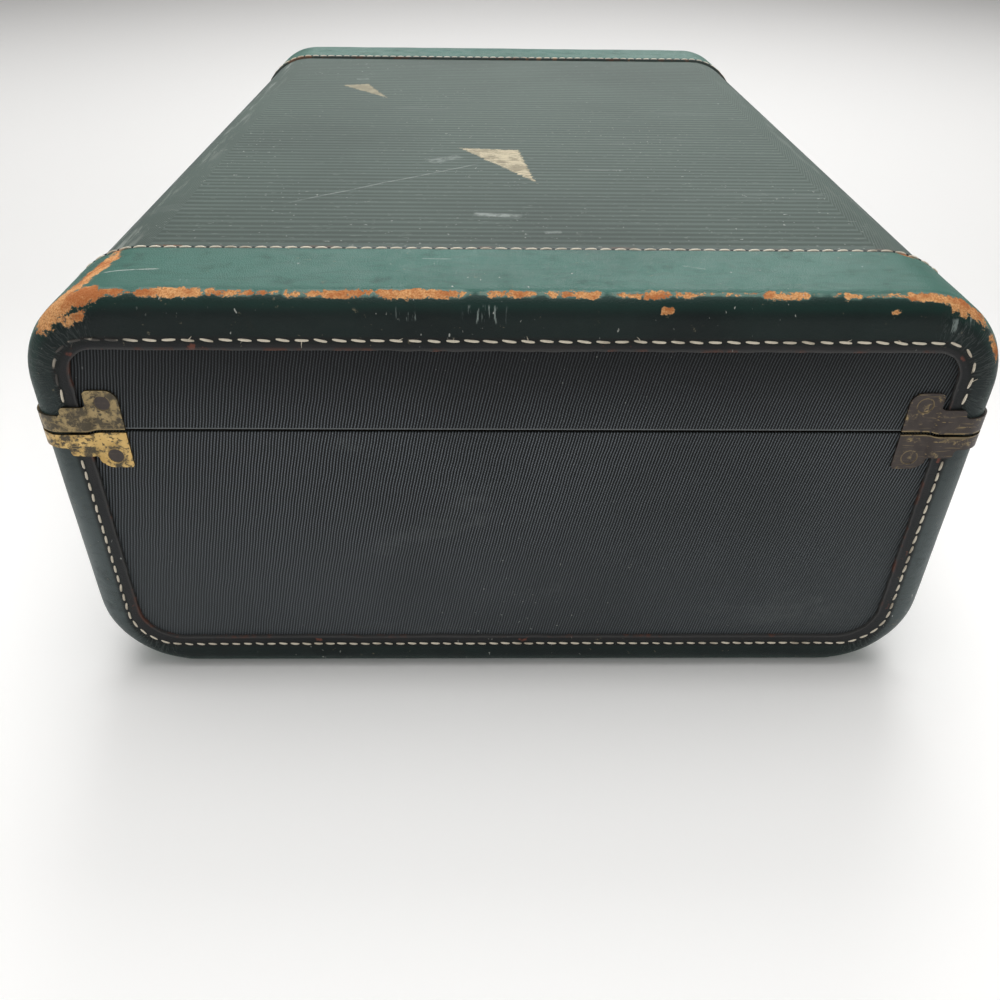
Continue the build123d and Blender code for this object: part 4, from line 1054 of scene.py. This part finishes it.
def finish_piece(obj, body, node, material, smooth=40):
    """Gives a new piece its material and place in the frame, and hides the node that it stands for."""
    clear_selection()
    bpy.context.view_layer.objects.active = obj
    obj.select_set(True)
    bpy.ops.object.shade_smooth_by_angle(angle=radians(smooth))
    obj.data.materials.clear()
    obj.data.materials.append(material)
    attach(obj, body)
    if node:
        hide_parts(node)
    print(obj.name, len(obj.data.polygons), "faces")


# %% [markdown]
# The hide of one end is cut from the box: a band round the case, the roll over its edge, and a frame on
# the end face with a window in it. The window's corners are tighter at the lid than at the base, so its
# loop of points is moved onto arcs of those radii. Then the long runs are sliced fine enough to carry
# wear and small waves.

# %% The hide of one end
window_radius_top = 9.5 * mm
window_radius_low = 15 * mm
hide_pitch = 1.5 * mm
corner_steps = 26


def window_point(point):
    """Moves a point of the inset loop onto the window's own outline."""
    high = point.z > case_top / 2
    own_radius = corner_radius - window_side
    radius = window_radius_top if high else window_radius_low
    centre_x = half_width - window_side - own_radius
    centre_z = case_top / 2 - window_side - own_radius
    turn = atan2(abs(point.z - case_top / 2) - centre_z, abs(point.x) - centre_x)
    x = half_width - window_side - radius * (1 - cos(turn))
    if high:
        z = case_top - window_top - radius * (1 - sin(turn))
    else:
        z = window_bottom + radius * (1 - sin(turn))
    return Vector((copysign(x, point.x), point.y, z))


def hide_blank():
    """The hide of the near end as one thin sheet, base and lid together."""
    blank = case_form("hide_blank", 0.0, corner_steps, 12)
    cut_off((0, -half_length + band_width, 0), (0, 1, 0))
    pick("FACE", lambda face: face.normal.y < -0.99 and len(face.verts) > 4)
    bpy.ops.mesh.inset(thickness=window_side - end_roll, depth=0)
    form = bmesh.from_edit_mesh(blank.data)
    for face in form.faces:
        if face.select:
            for vert in face.verts:
                vert.co = window_point(vert.co)
    bmesh.update_edit_mesh(blank.data)
    bpy.ops.mesh.delete(type="FACE")
    end_y = -half_length + 0.01 * mm
    pick(
        "EDGE",
        lambda edge: all(vert.co.y < end_y for vert in edge.verts)
        and sum(vert.is_boundary for vert in edge.verts) == 1,
    )
    bpy.ops.mesh.subdivide(number_cuts=7)
    for axis in (0, 2, 1):
        slice_along(axis, hide_pitch)
    bpy.ops.object.mode_set(mode="OBJECT")
    return blank


blank = hide_blank()
print("hide blank", len(blank.data.polygons), "faces")

# %% [markdown]
# Wear isn't random: it sits on the crest of the roll, thick at the corners and broken into runs between
# them. Each run is named by how far it lies round the case from the middle of the lid, in millimetres,
# and by how high on the roll. The further a point is from the runs, the less worn it is.

# %% Where the hide is worn
crest_runs = [
    (-157, -147, 56, 3.6, 1.0),
    (-150, -137, 62, 3.3, 1.0),
    (-137, -128, 64, 1.7, 0.92),
    (-148, -141, 16, 1.7, 0.78),
    (-104, -98, 66, 1.4, 0.6),
    (-120, -103, 62, 1.9, 0.98),
    (-95, -86, 62, 1.4, 0.85),
    (-83, -77, 64, 1.0, 0.62),
    (-74, -48, 62, 1.6, 0.80),
    (-44, -19, 62, 1.9, 0.84),
    (-9, 4, 62, 1.5, 0.74),
    (10, 25, 62, 1.6, 0.78),
    (32, 38, 62, 1.4, 0.66),
    (41, 47, 62, 1.6, 0.80),
    (51, 55, 62, 1.4, 0.72),
    (47, 48.5, 25, 1.2, 0.95),
    (120.5, 121.5, 24, 0.8, 0.9),
    (58, 76, 64, 0.9, 0.58),
    (80, 92, 62, 1.6, 0.94),
    (106, 109, 60, 1.4, 0.80),
    (110, 124, 62, 1.0, 0.60),
    (127, 140, 62, 1.8, 0.94),
    (141, 155, 60, 2.4, 0.90),
    (142, 146, 34, 1.6, 0.70),
    (163, 170, 48, 1.8, 0.80),
]
thin_crest = (-165, 165, 64, 0.9, 0.50)


def girth_point(along, inset):
    """The point of the section this far round from the middle of the lid, taken in by an inset."""
    flat = half_width - corner_radius
    side = case_top - 2 * corner_radius
    bend = corner_radius * pi / 2
    radius = corner_radius - inset
    centre_z = case_top - corner_radius
    s = abs(along)
    if s < flat:
        x, z = s, case_top - inset
    elif s < flat + bend:
        turn = (s - flat) / corner_radius
        x, z = flat + radius * sin(turn), centre_z + radius * cos(turn)
    elif s < flat + bend + side:
        x, z = half_width - inset, centre_z - (s - flat - bend)
    else:
        turn = min((s - flat - bend - side) / corner_radius, pi / 2)
        x, z = flat + radius * cos(turn), corner_radius - radius * sin(turn)
    return copysign(x, along), z


def roll_point(along, lift):
    """A point on the roll of the near end: so far round the case, and so many degrees up the roll."""
    turn = radians(lift)
    x, z = girth_point(along, end_roll * (1 - sin(turn)))
    return Vector((x, -half_length + end_roll * (1 - cos(turn)), z))


def run_samples(runs):
    """Spots every 2 mm along each run: place, radius and strength."""
    spots = []
    for start, stop, lift, radius, strength in runs:
        count = max(2, ceil((stop - start) / 2))
        for step in range(count + 1):
            along = start + (stop - start) * step / count
            spots.append((roll_point(along * mm, lift), radius * mm, strength))
    return spots


near_spots = run_samples(crest_runs + [thin_crest])
for start, stop, radius, strength in (
    ((-139, -184, 164.0), (-140, -196, 163.6), 2.4, 0.70),
    ((-140, -196, 163.6), (-144, -216, 162.5), 3.2, 0.88),
    ((-144, -216, 162.5), (-150, -223, 159.5), 3.8, 0.98),
    ((137, -185.5, 164.3), (140, -187, 163.7), 1.8, 0.85),
    ((-132, -184, 165.0), (-118, -184, 165.0), 0.9, 0.62),
):
    for step in range(13):
        place = Vector(start).lerp(Vector(stop), step / 12) * mm
        near_spots.append((place, radius * mm, strength))
far_spots = [
    (Vector((x, y, z)) * mm, radius * mm, strength)
    for x, y, z, radius, strength in (
        (-144, 185, 162.4, 3.0, 0.85),
        (-138, 184.5, 164.2, 3.2, 0.90),
        (-131, 184.2, 165, 2.2, 0.80),
        (-122, 184.2, 165, 1.4, 0.70),
        (18, 184.2, 165, 1.6, 0.72),
        (26, 184.2, 165, 1.8, 0.80),
        (37, 184.2, 165, 1.6, 0.75),
        (88, 184.2, 165, 1.4, 0.66),
        (128, 184.2, 165, 1.6, 0.70),
    )
]
for start, stop, lift, radius, strength in (
    (-168, -136, 60, 3.4, 0.92),
    (-136, -60, 62, 1.2, 0.62),
    (-20, 44, 62, 1.5, 0.70),
    (70, 118, 62, 1.3, 0.64),
    (126, 160, 60, 3.0, 0.90),
):
    for place, size, amount in run_samples([(start, stop, lift, radius, strength)]):
        far_spots.append((Vector((place.x, -place.y, place.z)), size, amount))
print("wear spots", len(near_spots), len(far_spots))


def wear_at(point, tree, spots):
    """How worn the hide is here, from 0 to 1."""
    worn = 0.0
    for _, index, distance in tree.find_range(point, 9 * mm):
        _, radius, strength = spots[index]
        fade = max(0.0, 1.0 - max(0.0, distance - 0.4 * radius) / (1.3 * radius))
        worn = max(worn, strength * fade)
    return worn


# %% [markdown]
# Each end's hide is now cut at the joint into lid and base. Old hide is never flat: it gets slow waves of
# a few tenths of a millimetre, its cut edges wander, and a groove is pressed where the thread pulls it
# down. Thickness and a softened edge come last, so that the waves carry through both faces.

# %% The four pieces of hide
def groove_depth(point):
    """How far the thread has pulled the hide down here."""
    band_gap = abs(abs(point.y) - band_seam_y)
    across = abs(point.x) - (seam_half_x - seam_radius)
    height = abs(point.z - seam_middle_z) - (seam_half_z - seam_radius)
    outside = hypot(max(across, 0), max(height, 0)) + min(max(across, height), 0)
    window_gap = abs(outside - seam_radius) if half_length - abs(point.y) < end_roll * 0.2 else 1.0
    gap = min(band_gap, window_gap)
    return 0.28 * mm * max(0.0, 1 - gap / (1.6 * mm)) ** 2


def shape_hide(piece, end, spots):
    """Waves, grooves, wandering edges and the worn attribute, then thickness."""
    tree = KDTree(len(spots))
    for index, (place, _, _) in enumerate(spots):
        tree.insert(place, index)
    tree.balance()
    mesh = piece.data
    rims = bmesh.new()
    rims.from_mesh(mesh)
    joint_gap = 1.5 * mm
    cut = {
        vert.index
        for vert in rims.verts
        if vert.is_boundary and abs(vert.co.z - joint) > joint_gap
    }
    rims.free()
    worn = [0.0] * len(mesh.vertices)
    edge = [0.0] * len(mesh.vertices)
    normals = [vertex.normal.copy() for vertex in mesh.vertices]
    for vertex, normal in zip(mesh.vertices, normals):
        point = vertex.co.copy()
        worn[vertex.index] = wear_at(point, tree, spots)
        near_joint = min(1.0, abs(point.z - joint) / (8 * mm))
        wave = noise.noise(point * 38) * 0.5 + noise.noise(point * 110) * 0.2
        inward = 0.32 * mm * (0.5 + wave) * near_joint + groove_depth(point)
        inward += 0.25 * mm * worn[vertex.index]
        floor_side = normal.z < -0.7
        vertex.co -= normal * (0.0 if floor_side else inward)
        if vertex.index in cut:
            edge[vertex.index] = 1.0
            wander = noise.noise(point * 260) * 0.35 * mm + noise.noise(point * 60) * 0.3 * mm
            if half_length - abs(point.y) < 1 * mm:
                outward = Vector((point.x, 0, point.z - case_top / 2)).normalized()
                vertex.co += outward * wander
            else:
                vertex.co.y += end * (wander - 0.2 * mm)
    for name, values in (("worn", worn), ("cut_edge", edge)):
        attribute = mesh.attributes.new(name, "FLOAT", "POINT")
        attribute.data.foreach_set("value", values)
    apply_modifier(piece, "thickness", "SOLIDIFY", thickness=leather, offset=-1, use_even_offset=True)
    soft = {"limit_method": "ANGLE", "angle_limit": radians(50)}
    apply_modifier(piece, "softened_edge", "BEVEL", width=0.3 * mm, segments=2, **soft)


for end, end_name, spots in ((-1, "near", near_spots), (1, "far", far_spots)):
    for body, rim, away in (("base", base_rim, 1), ("lid", lid_rim, -1)):
        piece = copy_of(blank, f"{body}_hide_{end_name}")
        bpy.ops.object.mode_set(mode="EDIT")
        cut_off((0, 0, rim), (0, 0, away))
        bpy.ops.object.mode_set(mode="OBJECT")
        if end > 0:
            piece.rotation_euler = (0, 0, pi)
            bpy.ops.object.transform_apply(rotation=True)
        shape_hide(piece, end, spots)
        finish_piece(piece, body, f"{body}_binding_{end_name}", hide)
drop(blank)

# %% [markdown]
# The canvas is glued to the board, so it is the same box, taken in by the hide. What it needs most is a
# UV map in metres that runs round the case without a jump, because the twill follows the cloth. On the
# end faces the map is simply across and up.

# %% The canvas covers
def girth(point, inset):
    """How far a point lies round the case from the middle of the lid, along a skin at this inset."""
    radius = corner_radius - inset
    flat = half_width - corner_radius
    side = case_top - 2 * corner_radius
    bend = radius * pi / 2
    x, z = abs(point.x), point.z
    if z > case_top - corner_radius:
        s = x if x < flat else flat + radius * atan2(x - flat, z - case_top + corner_radius)
    elif z > corner_radius:
        s = flat + bend + case_top - corner_radius - z
    elif x > flat:
        s = flat + bend + side + radius * atan2(corner_radius - z, x - flat)
    else:
        s = flat + 2 * bend + side + flat - x
    return copysign(s, point.x)


def lay_cloth_map(obj, inset):
    """A UV map in metres: round the case and along it, or across and up on the end faces."""
    mesh = obj.data
    layer = mesh.uv_layers.active
    for face in mesh.polygons:
        flat_end = abs(face.normal.y) > 0.7
        side = copysign(1, face.center.x)
        for loop in face.loop_indices:
            point = mesh.vertices[mesh.loops[loop].vertex_index].co
            if flat_end:
                layer.data[loop].uv = (-copysign(1, face.normal.y) * point.x, point.z)
            else:
                safe = Vector((side * max(abs(point.x), 1e-9), point.y, point.z))
                layer.data[loop].uv = (girth(safe, inset), point.y)


def skin_piece(name, inset, wall, rim, away):
    """A thin closed-ended skin of the case, cut at the joint, with its cloth map."""
    piece = case_form(name, inset, 12, 4)
    cut_off((0, 0, rim), (0, 0, away))
    bpy.ops.object.mode_set(mode="OBJECT")
    lay_cloth_map(piece, inset)
    apply_modifier(piece, "thickness", "SOLIDIFY", thickness=wall, offset=-1, use_even_offset=True)
    return piece


for body, rim, away in (("base", base_rim, 1), ("lid", lid_rim, -1)):
    cover = skin_piece(f"{body}_canvas", leather, canvas, rim, away)
    finish_piece(cover, body, f"{body}_cover", cloth)

# %% [markdown]
# The lining is the same skin once more, just inside the board. It stops at the tongue's foot in the base
# and at the board's rim in the lid.

# %% The linings
lining_inset = half_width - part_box("base_lining")[1][0]
lining_wall = 1 * mm
for body, away in (("base", 1), ("lid", -1)):
    low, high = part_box(f"{body}_lining")
    rim = high[2] if body == "base" else low[2]
    lining = skin_piece(f"{body}_cotton", lining_inset, lining_wall, rim, away)
    finish_piece(lining, body, f"{body}_lining", lining_cotton)

# %% [markdown]
# One stitch is a short waxed dash with its ends drawn down into the hide. It is modelled once, from a
# sphere stretched and bent, and copied along each seam with small differences, because it was sewn by
# hand on an old machine. Beside each stitch lies the hole that the awl left, drawn as a near-black lens of
# painted shade.

# %% One stitch and one hole
def one_stitch(length, width):
    """A waxed dash along X that stands on the hide at z = 0."""
    clear_selection()
    bpy.ops.mesh.primitive_uv_sphere_add(segments=8, ring_count=7, radius=1, rotation=(0, pi / 2, 0))
    dash = bpy.context.object
    dash.name = "stitch_pattern"
    bpy.ops.object.transform_apply(rotation=True)
    for vertex in dash.data.vertices:
        x, y, z = vertex.co
        full = copysign(abs(x) ** 0.8, x)
        vertex.co = (full * length / 2, y * width / 2, z * 0.45 * width + 0.16 * width - 0.5 * width * x * x)
    return dash


def one_hole(width):
    """A shallow dark pit, drawn as a flat eight-sided lens."""
    clear_selection()
    bpy.ops.mesh.primitive_cylinder_add(vertices=8, radius=width / 2, depth=0.3 * mm)
    lens = bpy.context.object
    lens.name = "hole_pattern"
    for vertex in lens.data.vertices:
        if vertex.co.z > 0:
            vertex.co.x *= 0.7
            vertex.co.y *= 0.7
    return lens


lid_pitch = 6.1 * mm
base_pitch = 4.8 * mm
band_pitch = 5.3 * mm
thread_width = 0.95 * mm
stitch = one_stitch(5.9 * mm, thread_width)
hole = one_hole(1.2 * mm)


def half_loop(half_x, edge_z, radius, start_z, pitch):
    """Even places along half a rounded rectangle, from the left side over an edge to the right side."""
    up = copysign(1, edge_z - start_z)
    side = abs(edge_z - start_z) - radius
    flat = 2 * (half_x - radius)
    bend = radius * pi / 2
    total = 2 * side + 2 * bend + flat
    count = round(total / pitch)
    places = []
    for step in range(count):
        s = (step + 0.5) * total / count
        if s < side:
            x, z, turn = -half_x, s, pi / 2
        elif s < side + bend:
            turn = pi / 2 - (s - side) / radius
            x, z = radius - half_x - radius * sin(turn), side + radius * cos(turn)
        elif s < side + bend + flat:
            x, z, turn = radius - half_x + s - side - bend, side + radius, 0.0
        elif s < side + 2 * bend + flat:
            turn = -(s - side - bend - flat) / radius
            x, z = half_x - radius - radius * sin(turn), side + radius * cos(turn)
        else:
            x, z, turn = half_x, total - s, -pi / 2
        places.append((x, start_z + up * z, up * turn))
    return places


def scatter(name, pattern, places):
    """One mesh of many copies of a pattern, each moved to its place."""
    gathered = bmesh.new()
    for place in places:
        first = len(gathered.verts)
        gathered.from_mesh(pattern.data)
        gathered.verts.ensure_lookup_table()
        bmesh.ops.transform(gathered, matrix=place, verts=gathered.verts[first:])
    mesh = bpy.data.meshes.new(name)
    gathered.to_mesh(mesh)
    gathered.free()
    obj = bpy.data.objects.new(name, mesh)
    bpy.context.scene.collection.objects.link(obj)
    return obj


def seat(point, along, out, slant=0.0, stretch=1.0):
    """The matrix that stands a pattern at a point, X along the seam and Z out of the hide."""
    side = out.cross(along)
    turned_along = along * cos(slant) + side * sin(slant)
    turned_side = side * cos(slant) - along * sin(slant)
    basis = Matrix((turned_along * stretch, turned_side, out)).transposed()
    return Matrix.Translation(point) @ basis.to_4x4()


# %% [markdown]
# Each piece of hide has two seams: one round its window on the end face, and one along the cut edge of its
# band. The places have small errors of the hand, and one object holds all the stitches of a piece.

# %% The seams
seam_top_radius = 12.5 * mm
seam_low_radius = 18 * mm
plate_clear = 11 * mm
sewing = Random(11)


def seam_places(body, end):
    """Where the stitches and holes of one piece of hide go."""
    up = 1 if body == "lid" else -1
    rim = lid_rim if body == "lid" else base_rim
    window_edge = case_top - seam_top if body == "lid" else seam_bottom
    radius = seam_top_radius if body == "lid" else seam_low_radius
    pitch = lid_pitch if body == "lid" else base_pitch
    stitches, holes = [], []
    for x, z, turn in half_loop(seam_half_x, window_edge, radius, joint + up * plate_clear, pitch):
        point = Vector((x, end * (half_length - 0.45 * mm), z))
        out = Vector((0, end, 0))
        along = Vector((cos(turn), 0, sin(turn)))
        stretch = sewing.uniform(0.88, 1.0) * pitch / lid_pitch
        slant = end * sewing.gauss(0.10, 0.05)
        point.z += sewing.uniform(-0.12, 0.12) * mm
        stitches.append(seat(point + out * 0.08 * mm, along, out, slant, stretch))
        holes.append(seat(point + along * pitch / 2 + out * 0.02 * mm, along, out))
    edge = case_top if body == "lid" else 0.0
    for x, z, turn in half_loop(half_width, edge, corner_radius, rim + up * 2 * mm, band_pitch):
        out = up * Vector((-sin(turn), 0, cos(turn)))
        along = Vector((cos(turn), 0, sin(turn)))
        on_floor = out.z < -0.7
        depth = 0.8 * mm if on_floor else 0.45 * mm
        point = Vector((x, end * band_seam_y, z)) - out * depth
        stretch = sewing.uniform(0.90, 1.02) * band_pitch / lid_pitch
        slant = sewing.gauss(0.08, 0.07)
        point.y += sewing.uniform(-0.15, 0.15) * mm
        stitches.append(seat(point + out * 0.08 * mm, along, out, slant, stretch))
        holes.append(seat(point + along * band_pitch / 2 + out * 0.02 * mm, along, out))
    return stitches, holes


for body in ("base", "lid"):
    for end, end_name in ((-1, "near"), (1, "far")):
        stitches, holes = seam_places(body, end)
        seam = scatter(f"{body}_stitches_{end_name}", stitch, stitches)
        finish_piece(seam, body, None, thread, smooth=70)
        pits = scatter(f"{body}_awl_holes_{end_name}", hole, holes)
        finish_piece(pits, body, None, pit_dark)

# %% [markdown]
# The leather grip is sewn too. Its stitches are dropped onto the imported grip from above, a little off its
# middle, and lie along its curve.

# %% The seam of the grip
grip_pitch = 3.9 * mm
seam_off_middle = 2.4 * mm
grip = bpy.data.objects["handle_grip"]
grip_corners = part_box("handle_grip")
grip_reach = grip_corners[1][1] - 3 * mm
grip_x = (grip_corners[0][0] + grip_corners[1][0]) / 2 + seam_off_middle
count = round(2 * grip_reach / grip_pitch)
grip_places = []
for step in range(count + 1):
    start = Vector((grip_x, (2 * step / count - 1) * grip_reach, grip_corners[1][2] + 10 * mm))
    point, out = grip.ray_cast(start, Vector((0, 0, -1)))[1:3]
    along = (Vector((0, 1, 0)) - out * out.y).normalized()
    slant = sewing.gauss(0.06, 0.04)
    grip_places.append(seat(point + out * 0.05 * mm, along, out, slant, grip_pitch / lid_pitch))
grip_seam = scatter("grip_stitches", stitch, grip_places)
finish_piece(grip_seam, "handle", None, thread, smooth=70)
print("grip stitches", len(grip_places))
drop(stitch)
drop(hole)

# %% [markdown]
# Old thread frays. A bent tapered fibre is drawn once, and copies of it stand at some of the stitches,
# each turned and sized by chance.

# %% Loose thread ends
def one_fibre(length, width):
    """A tapered fibre that starts at the origin, runs along X and curls up."""
    clear_selection()
    lying = {"location": (0.5, 0, 0), "rotation": (0, radians(90), 0)}
    bpy.ops.mesh.primitive_cone_add(vertices=5, radius1=width / 2, radius2=width / 8, depth=1, **lying)
    fibre = bpy.context.object
    fibre.name = "fibre_pattern"
    bpy.ops.object.transform_apply(location=True, rotation=True)
    bpy.ops.object.mode_set(mode="EDIT")
    bpy.ops.mesh.select_all(action="SELECT")
    bpy.ops.mesh.bisect(plane_co=(0.35, 0, 0), plane_no=(1, 0, 0))
    bpy.ops.mesh.select_all(action="SELECT")
    bpy.ops.mesh.bisect(plane_co=(0.7, 0, 0), plane_no=(1, 0, 0))
    bpy.ops.object.mode_set(mode="OBJECT")
    for vertex in fibre.data.vertices:
        x, y, z = vertex.co
        vertex.co = (x * length, y + 0.25 * length * x * x, z + 0.35 * length * x * x)
    return fibre


fibre = one_fibre(2.6 * mm, 0.42 * mm)
fraying = Random(23)
frayed_count = 26
for end, end_name in ((-1, "near"), (1, "far")):
    places = []
    for place in fraying.sample(seam_places("lid", end)[0], frayed_count):
        turned = Matrix.Rotation(fraying.uniform(0, 2 * pi), 4, "Z")
        places.append(place @ turned @ Matrix.Scale(fraying.uniform(0.45, 1.1), 4))
    ends = scatter(f"lid_thread_ends_{end_name}", fibre, places)
    finish_piece(ends, "lid", None, thread, smooth=70)
drop(fibre)

# %% [markdown]
# Under the lid's lining hangs a gathered pocket. Its long edge by the hinges and its two short edges are
# sewn down flat, and its open edge is drawn in by an elastic, so the cloth stands off the lining in folds
# that grow towards that edge. A fine grid is pushed into that shape, then it gets the cloth's thickness.

# %% The gathered pocket
pocket_low, pocket_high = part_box("lid_pocket")
hem_low, hem_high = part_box("pocket_hem")
ceiling = pocket_high[2]
pocket_width = pocket_high[0] - pocket_low[0]
pocket_half = pocket_high[1] - 0.5 * mm
pocket_wall = 0.7 * mm
fold_pitch = 17 * mm


def gather(y, growth):
    """Height of the folds at a place along the elastic edge. Growth goes from 0, flat, to 1, full."""
    shifted = y + noise.noise(Vector((y * 40, 3, 0))) * 5 * mm
    wide = sin(shifted * 2 * pi / fold_pitch) * (0.75 + 0.5 * noise.noise(Vector((y * 25, 9, 0))))
    small = sin(shifted * 2 * pi / (0.37 * fold_pitch) + 1.3) * 0.28
    return 2.0 * mm * growth * (wide + small)


def pocket_depth(y, share):
    """How far the cloth hangs off the lining at this share of the way from the sewn edge to the elastic."""
    swell = 7.2 * mm * sin(min(share * 1.25, 1.0) * pi / 2) - 1.6 * mm * max(0.0, share - 0.6) / 0.4
    inward = max(0.0, min((pocket_half - abs(y)) / (16 * mm), 1.0))
    held = inward * inward * (3 - 2 * inward)
    return pocket_wall + held * (swell + gather(y, share**1.6))


clear_selection()
bpy.ops.mesh.primitive_grid_add(
    x_subdivisions=34, y_subdivisions=260, size=1, location=((pocket_low[0] + pocket_high[0]) / 2, 0, ceiling)
)
pocket = bpy.context.object
pocket.name = "pocket_cloth"
pocket.scale = (pocket_width, 2 * pocket_half, 1)
bpy.ops.object.transform_apply(location=True, rotation=False, scale=True)
for vertex in pocket.data.vertices:
    share = (vertex.co.x - pocket_low[0]) / pocket_width
    vertex.co.z = ceiling - pocket_depth(vertex.co.y, share)
pocket_map = pocket.data.uv_layers.active
for loop in pocket.data.loops:
    corner = pocket.data.vertices[loop.vertex_index].co
    pocket_map.data[loop.index].uv = (corner.x, corner.y)
pocket_area = sum(face.area for face in pocket.data.polygons)
apply_modifier(pocket, "thickness", "SOLIDIFY", thickness=pocket_wall, offset=0, use_even_offset=True)
finish_piece(pocket, "lid", "lid_pocket", pocket_cotton, smooth=60)
print("pocket area", pocket_area, "cut length", pocket_area / pocket_width)

# %% [markdown]
# The hem is a casing with the elastic in it. It rides on the same folds, and its own cloth is drawn into
# small close gathers.

# %% The elastic hem
casing_wall = 2.2 * mm
clear_selection()
hem_middle = ((hem_low[0] + hem_high[0]) / 2, 0, ceiling)
bpy.ops.mesh.primitive_grid_add(x_subdivisions=6, y_subdivisions=420, size=1, location=hem_middle)
hem = bpy.context.object
hem.name = "elastic_casing"
hem.scale = (hem_high[0] - hem_low[0], 2 * pocket_half, 1)
bpy.ops.object.transform_apply(location=True, rotation=False, scale=True)
for vertex in hem.data.vertices:
    y = vertex.co.y
    across = (vertex.co.x - hem_low[0]) / (hem_high[0] - hem_low[0])
    crimp = 0.22 * mm * sin(y * 2 * pi / (2.9 * mm)) * sin(pi * across)
    vertex.co.z = ceiling - pocket_depth(y, 1.0) - 0.2 * mm - crimp
hem_map = hem.data.uv_layers.active
for loop in hem.data.loops:
    corner = hem.data.vertices[loop.vertex_index].co
    hem_map.data[loop.index].uv = (corner.x, corner.y)
apply_modifier(hem, "thickness", "SOLIDIFY", thickness=casing_wall, offset=0, use_even_offset=True)
round_rule = {"segments": 3, "limit_method": "ANGLE", "angle_limit": radians(60)}
apply_modifier(hem, "round_edge", "BEVEL", width=0.8 * mm, **round_rule)
finish_piece(hem, "lid", "pocket_hem", pocket_cotton, smooth=60)

# %% [markdown]
# Two leather straps hold the clothes down. Each is one long strip that lies on the floor of the base and
# turns up both sides, so it is cut from the same rounded box as the lining, one lining further in. A line
# of stitches runs along each edge.

# %% The packing straps
strap_stitch = one_stitch(3.0 * mm, 0.8 * mm)
strap_stitch_pitch = 4.2 * mm
strap_edge = 2.6 * mm
for name in ("packing_strap_near", "packing_strap_far"):
    low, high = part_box(name)
    inset = half_width - high[0]
    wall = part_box(name.replace("packing_strap", "strap_buckle"))[0][2] - low[2]
    strap = case_form(name.replace("packing_strap", "luggage_strap"), inset, 12, 4)
    cut_off((0, 0, high[2]), (0, 0, 1))
    cut_off((0, high[1], 0), (0, 1, 0))
    cut_off((0, low[1], 0), (0, -1, 0))
    bpy.ops.object.mode_set(mode="OBJECT")
    apply_modifier(strap, "thickness", "SOLIDIFY", thickness=wall, offset=-1, use_even_offset=True)
    apply_modifier(strap, "rounded", "BEVEL", width=0.4 * mm, **round_rule)
    finish_piece(strap, "base", name, brown_strap)
    places = []
    face = inset + wall
    strap_top = high[2] - 3 * mm
    sewn_line = half_loop(half_width - face, face, corner_radius - face, strap_top, strap_stitch_pitch)
    for x, z, turn in sewn_line:
        inside = Vector((-sin(turn), 0, cos(turn)))
        along = Vector((cos(turn), 0, sin(turn)))
        for y in (low[1] + strap_edge, high[1] - strap_edge):
            places.append(seat(Vector((x, y, z)), along, inside))
    sewn = scatter(name.replace("packing_strap", "strap_stitches"), strap_stitch, places)
    finish_piece(sewn, "base", None, thread, smooth=70)
drop(strap_stitch)

# %% [markdown]
# A lock's spring is pressed together as its button slides. A welded copy of the imported spring takes its
# place, with its finish, in the base.

# %% The lock springs
for joint_name, node, anchor_side in (
    ("lock_button_near_slide", "lock_spring_near", 0),
    ("lock_button_far_slide", "lock_spring_far", 1),
):
    packed_mesh = bpy.data.objects[node].data.copy()
    folded = bpy.data.objects.new(node.replace("lock_spring", "folded_spring"), packed_mesh)
    scene.collection.objects.link(folded)
    clear_selection()
    bpy.context.view_layer.objects.active = folded
    folded.select_set(True)
    bpy.ops.object.mode_set(mode="EDIT")
    bpy.ops.mesh.select_all(action="SELECT")
    bpy.ops.mesh.remove_doubles(threshold=0.005 * mm)
    bpy.ops.mesh.normals_make_consistent(inside=False)
    bpy.ops.object.mode_set(mode="OBJECT")
    finish_piece(folded, "base", node, steel)
    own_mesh(folded)

# %% [markdown]
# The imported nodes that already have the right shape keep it, and only get a finish: plates, nails,
# hinges, locks, hasps, the boxes and the wooden tongue.

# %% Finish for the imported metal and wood
def finish_node(node, material):
    """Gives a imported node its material."""
    obj = bpy.data.objects[node]
    obj.data.materials.clear()
    obj.data.materials.append(material)


node_finish = {
    "base_corner_plate_near_left": bright_plate,
    "lid_corner_plate_near_left": bronze_plate,
    "rim_tongue": rim_wood,
    "handle_grip": green_grip,
    "base_shell": case_board,
    "lid_shell": case_board,
}
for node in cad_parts:
    if node in node_finish:
        finish_node(node, node_finish[node])
    elif "corner_plate" in node:
        finish_node(node, dark_plate)
    elif "pin" in node or "spring" in node:
        finish_node(node, steel)
    elif "nails" in node or "studs" in node:
        finish_node(node, nail_metal)
    elif node.startswith(("hinge", "lock", "hasp", "handle", "strap_buckle")):
        finish_node(node, fitting_metal)
    elif node.startswith("packing_strap"):
        finish_node(node, brown_strap)
    elif "binding" in node:
        finish_node(node, hide)
    elif "cover" in node:
        finish_node(node, cloth)
    elif "pocket" in node:
        finish_node(node, pocket_cotton)
    elif "lining" in node:
        finish_node(node, lining_cotton)
print("packed nodes finished", len(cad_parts))
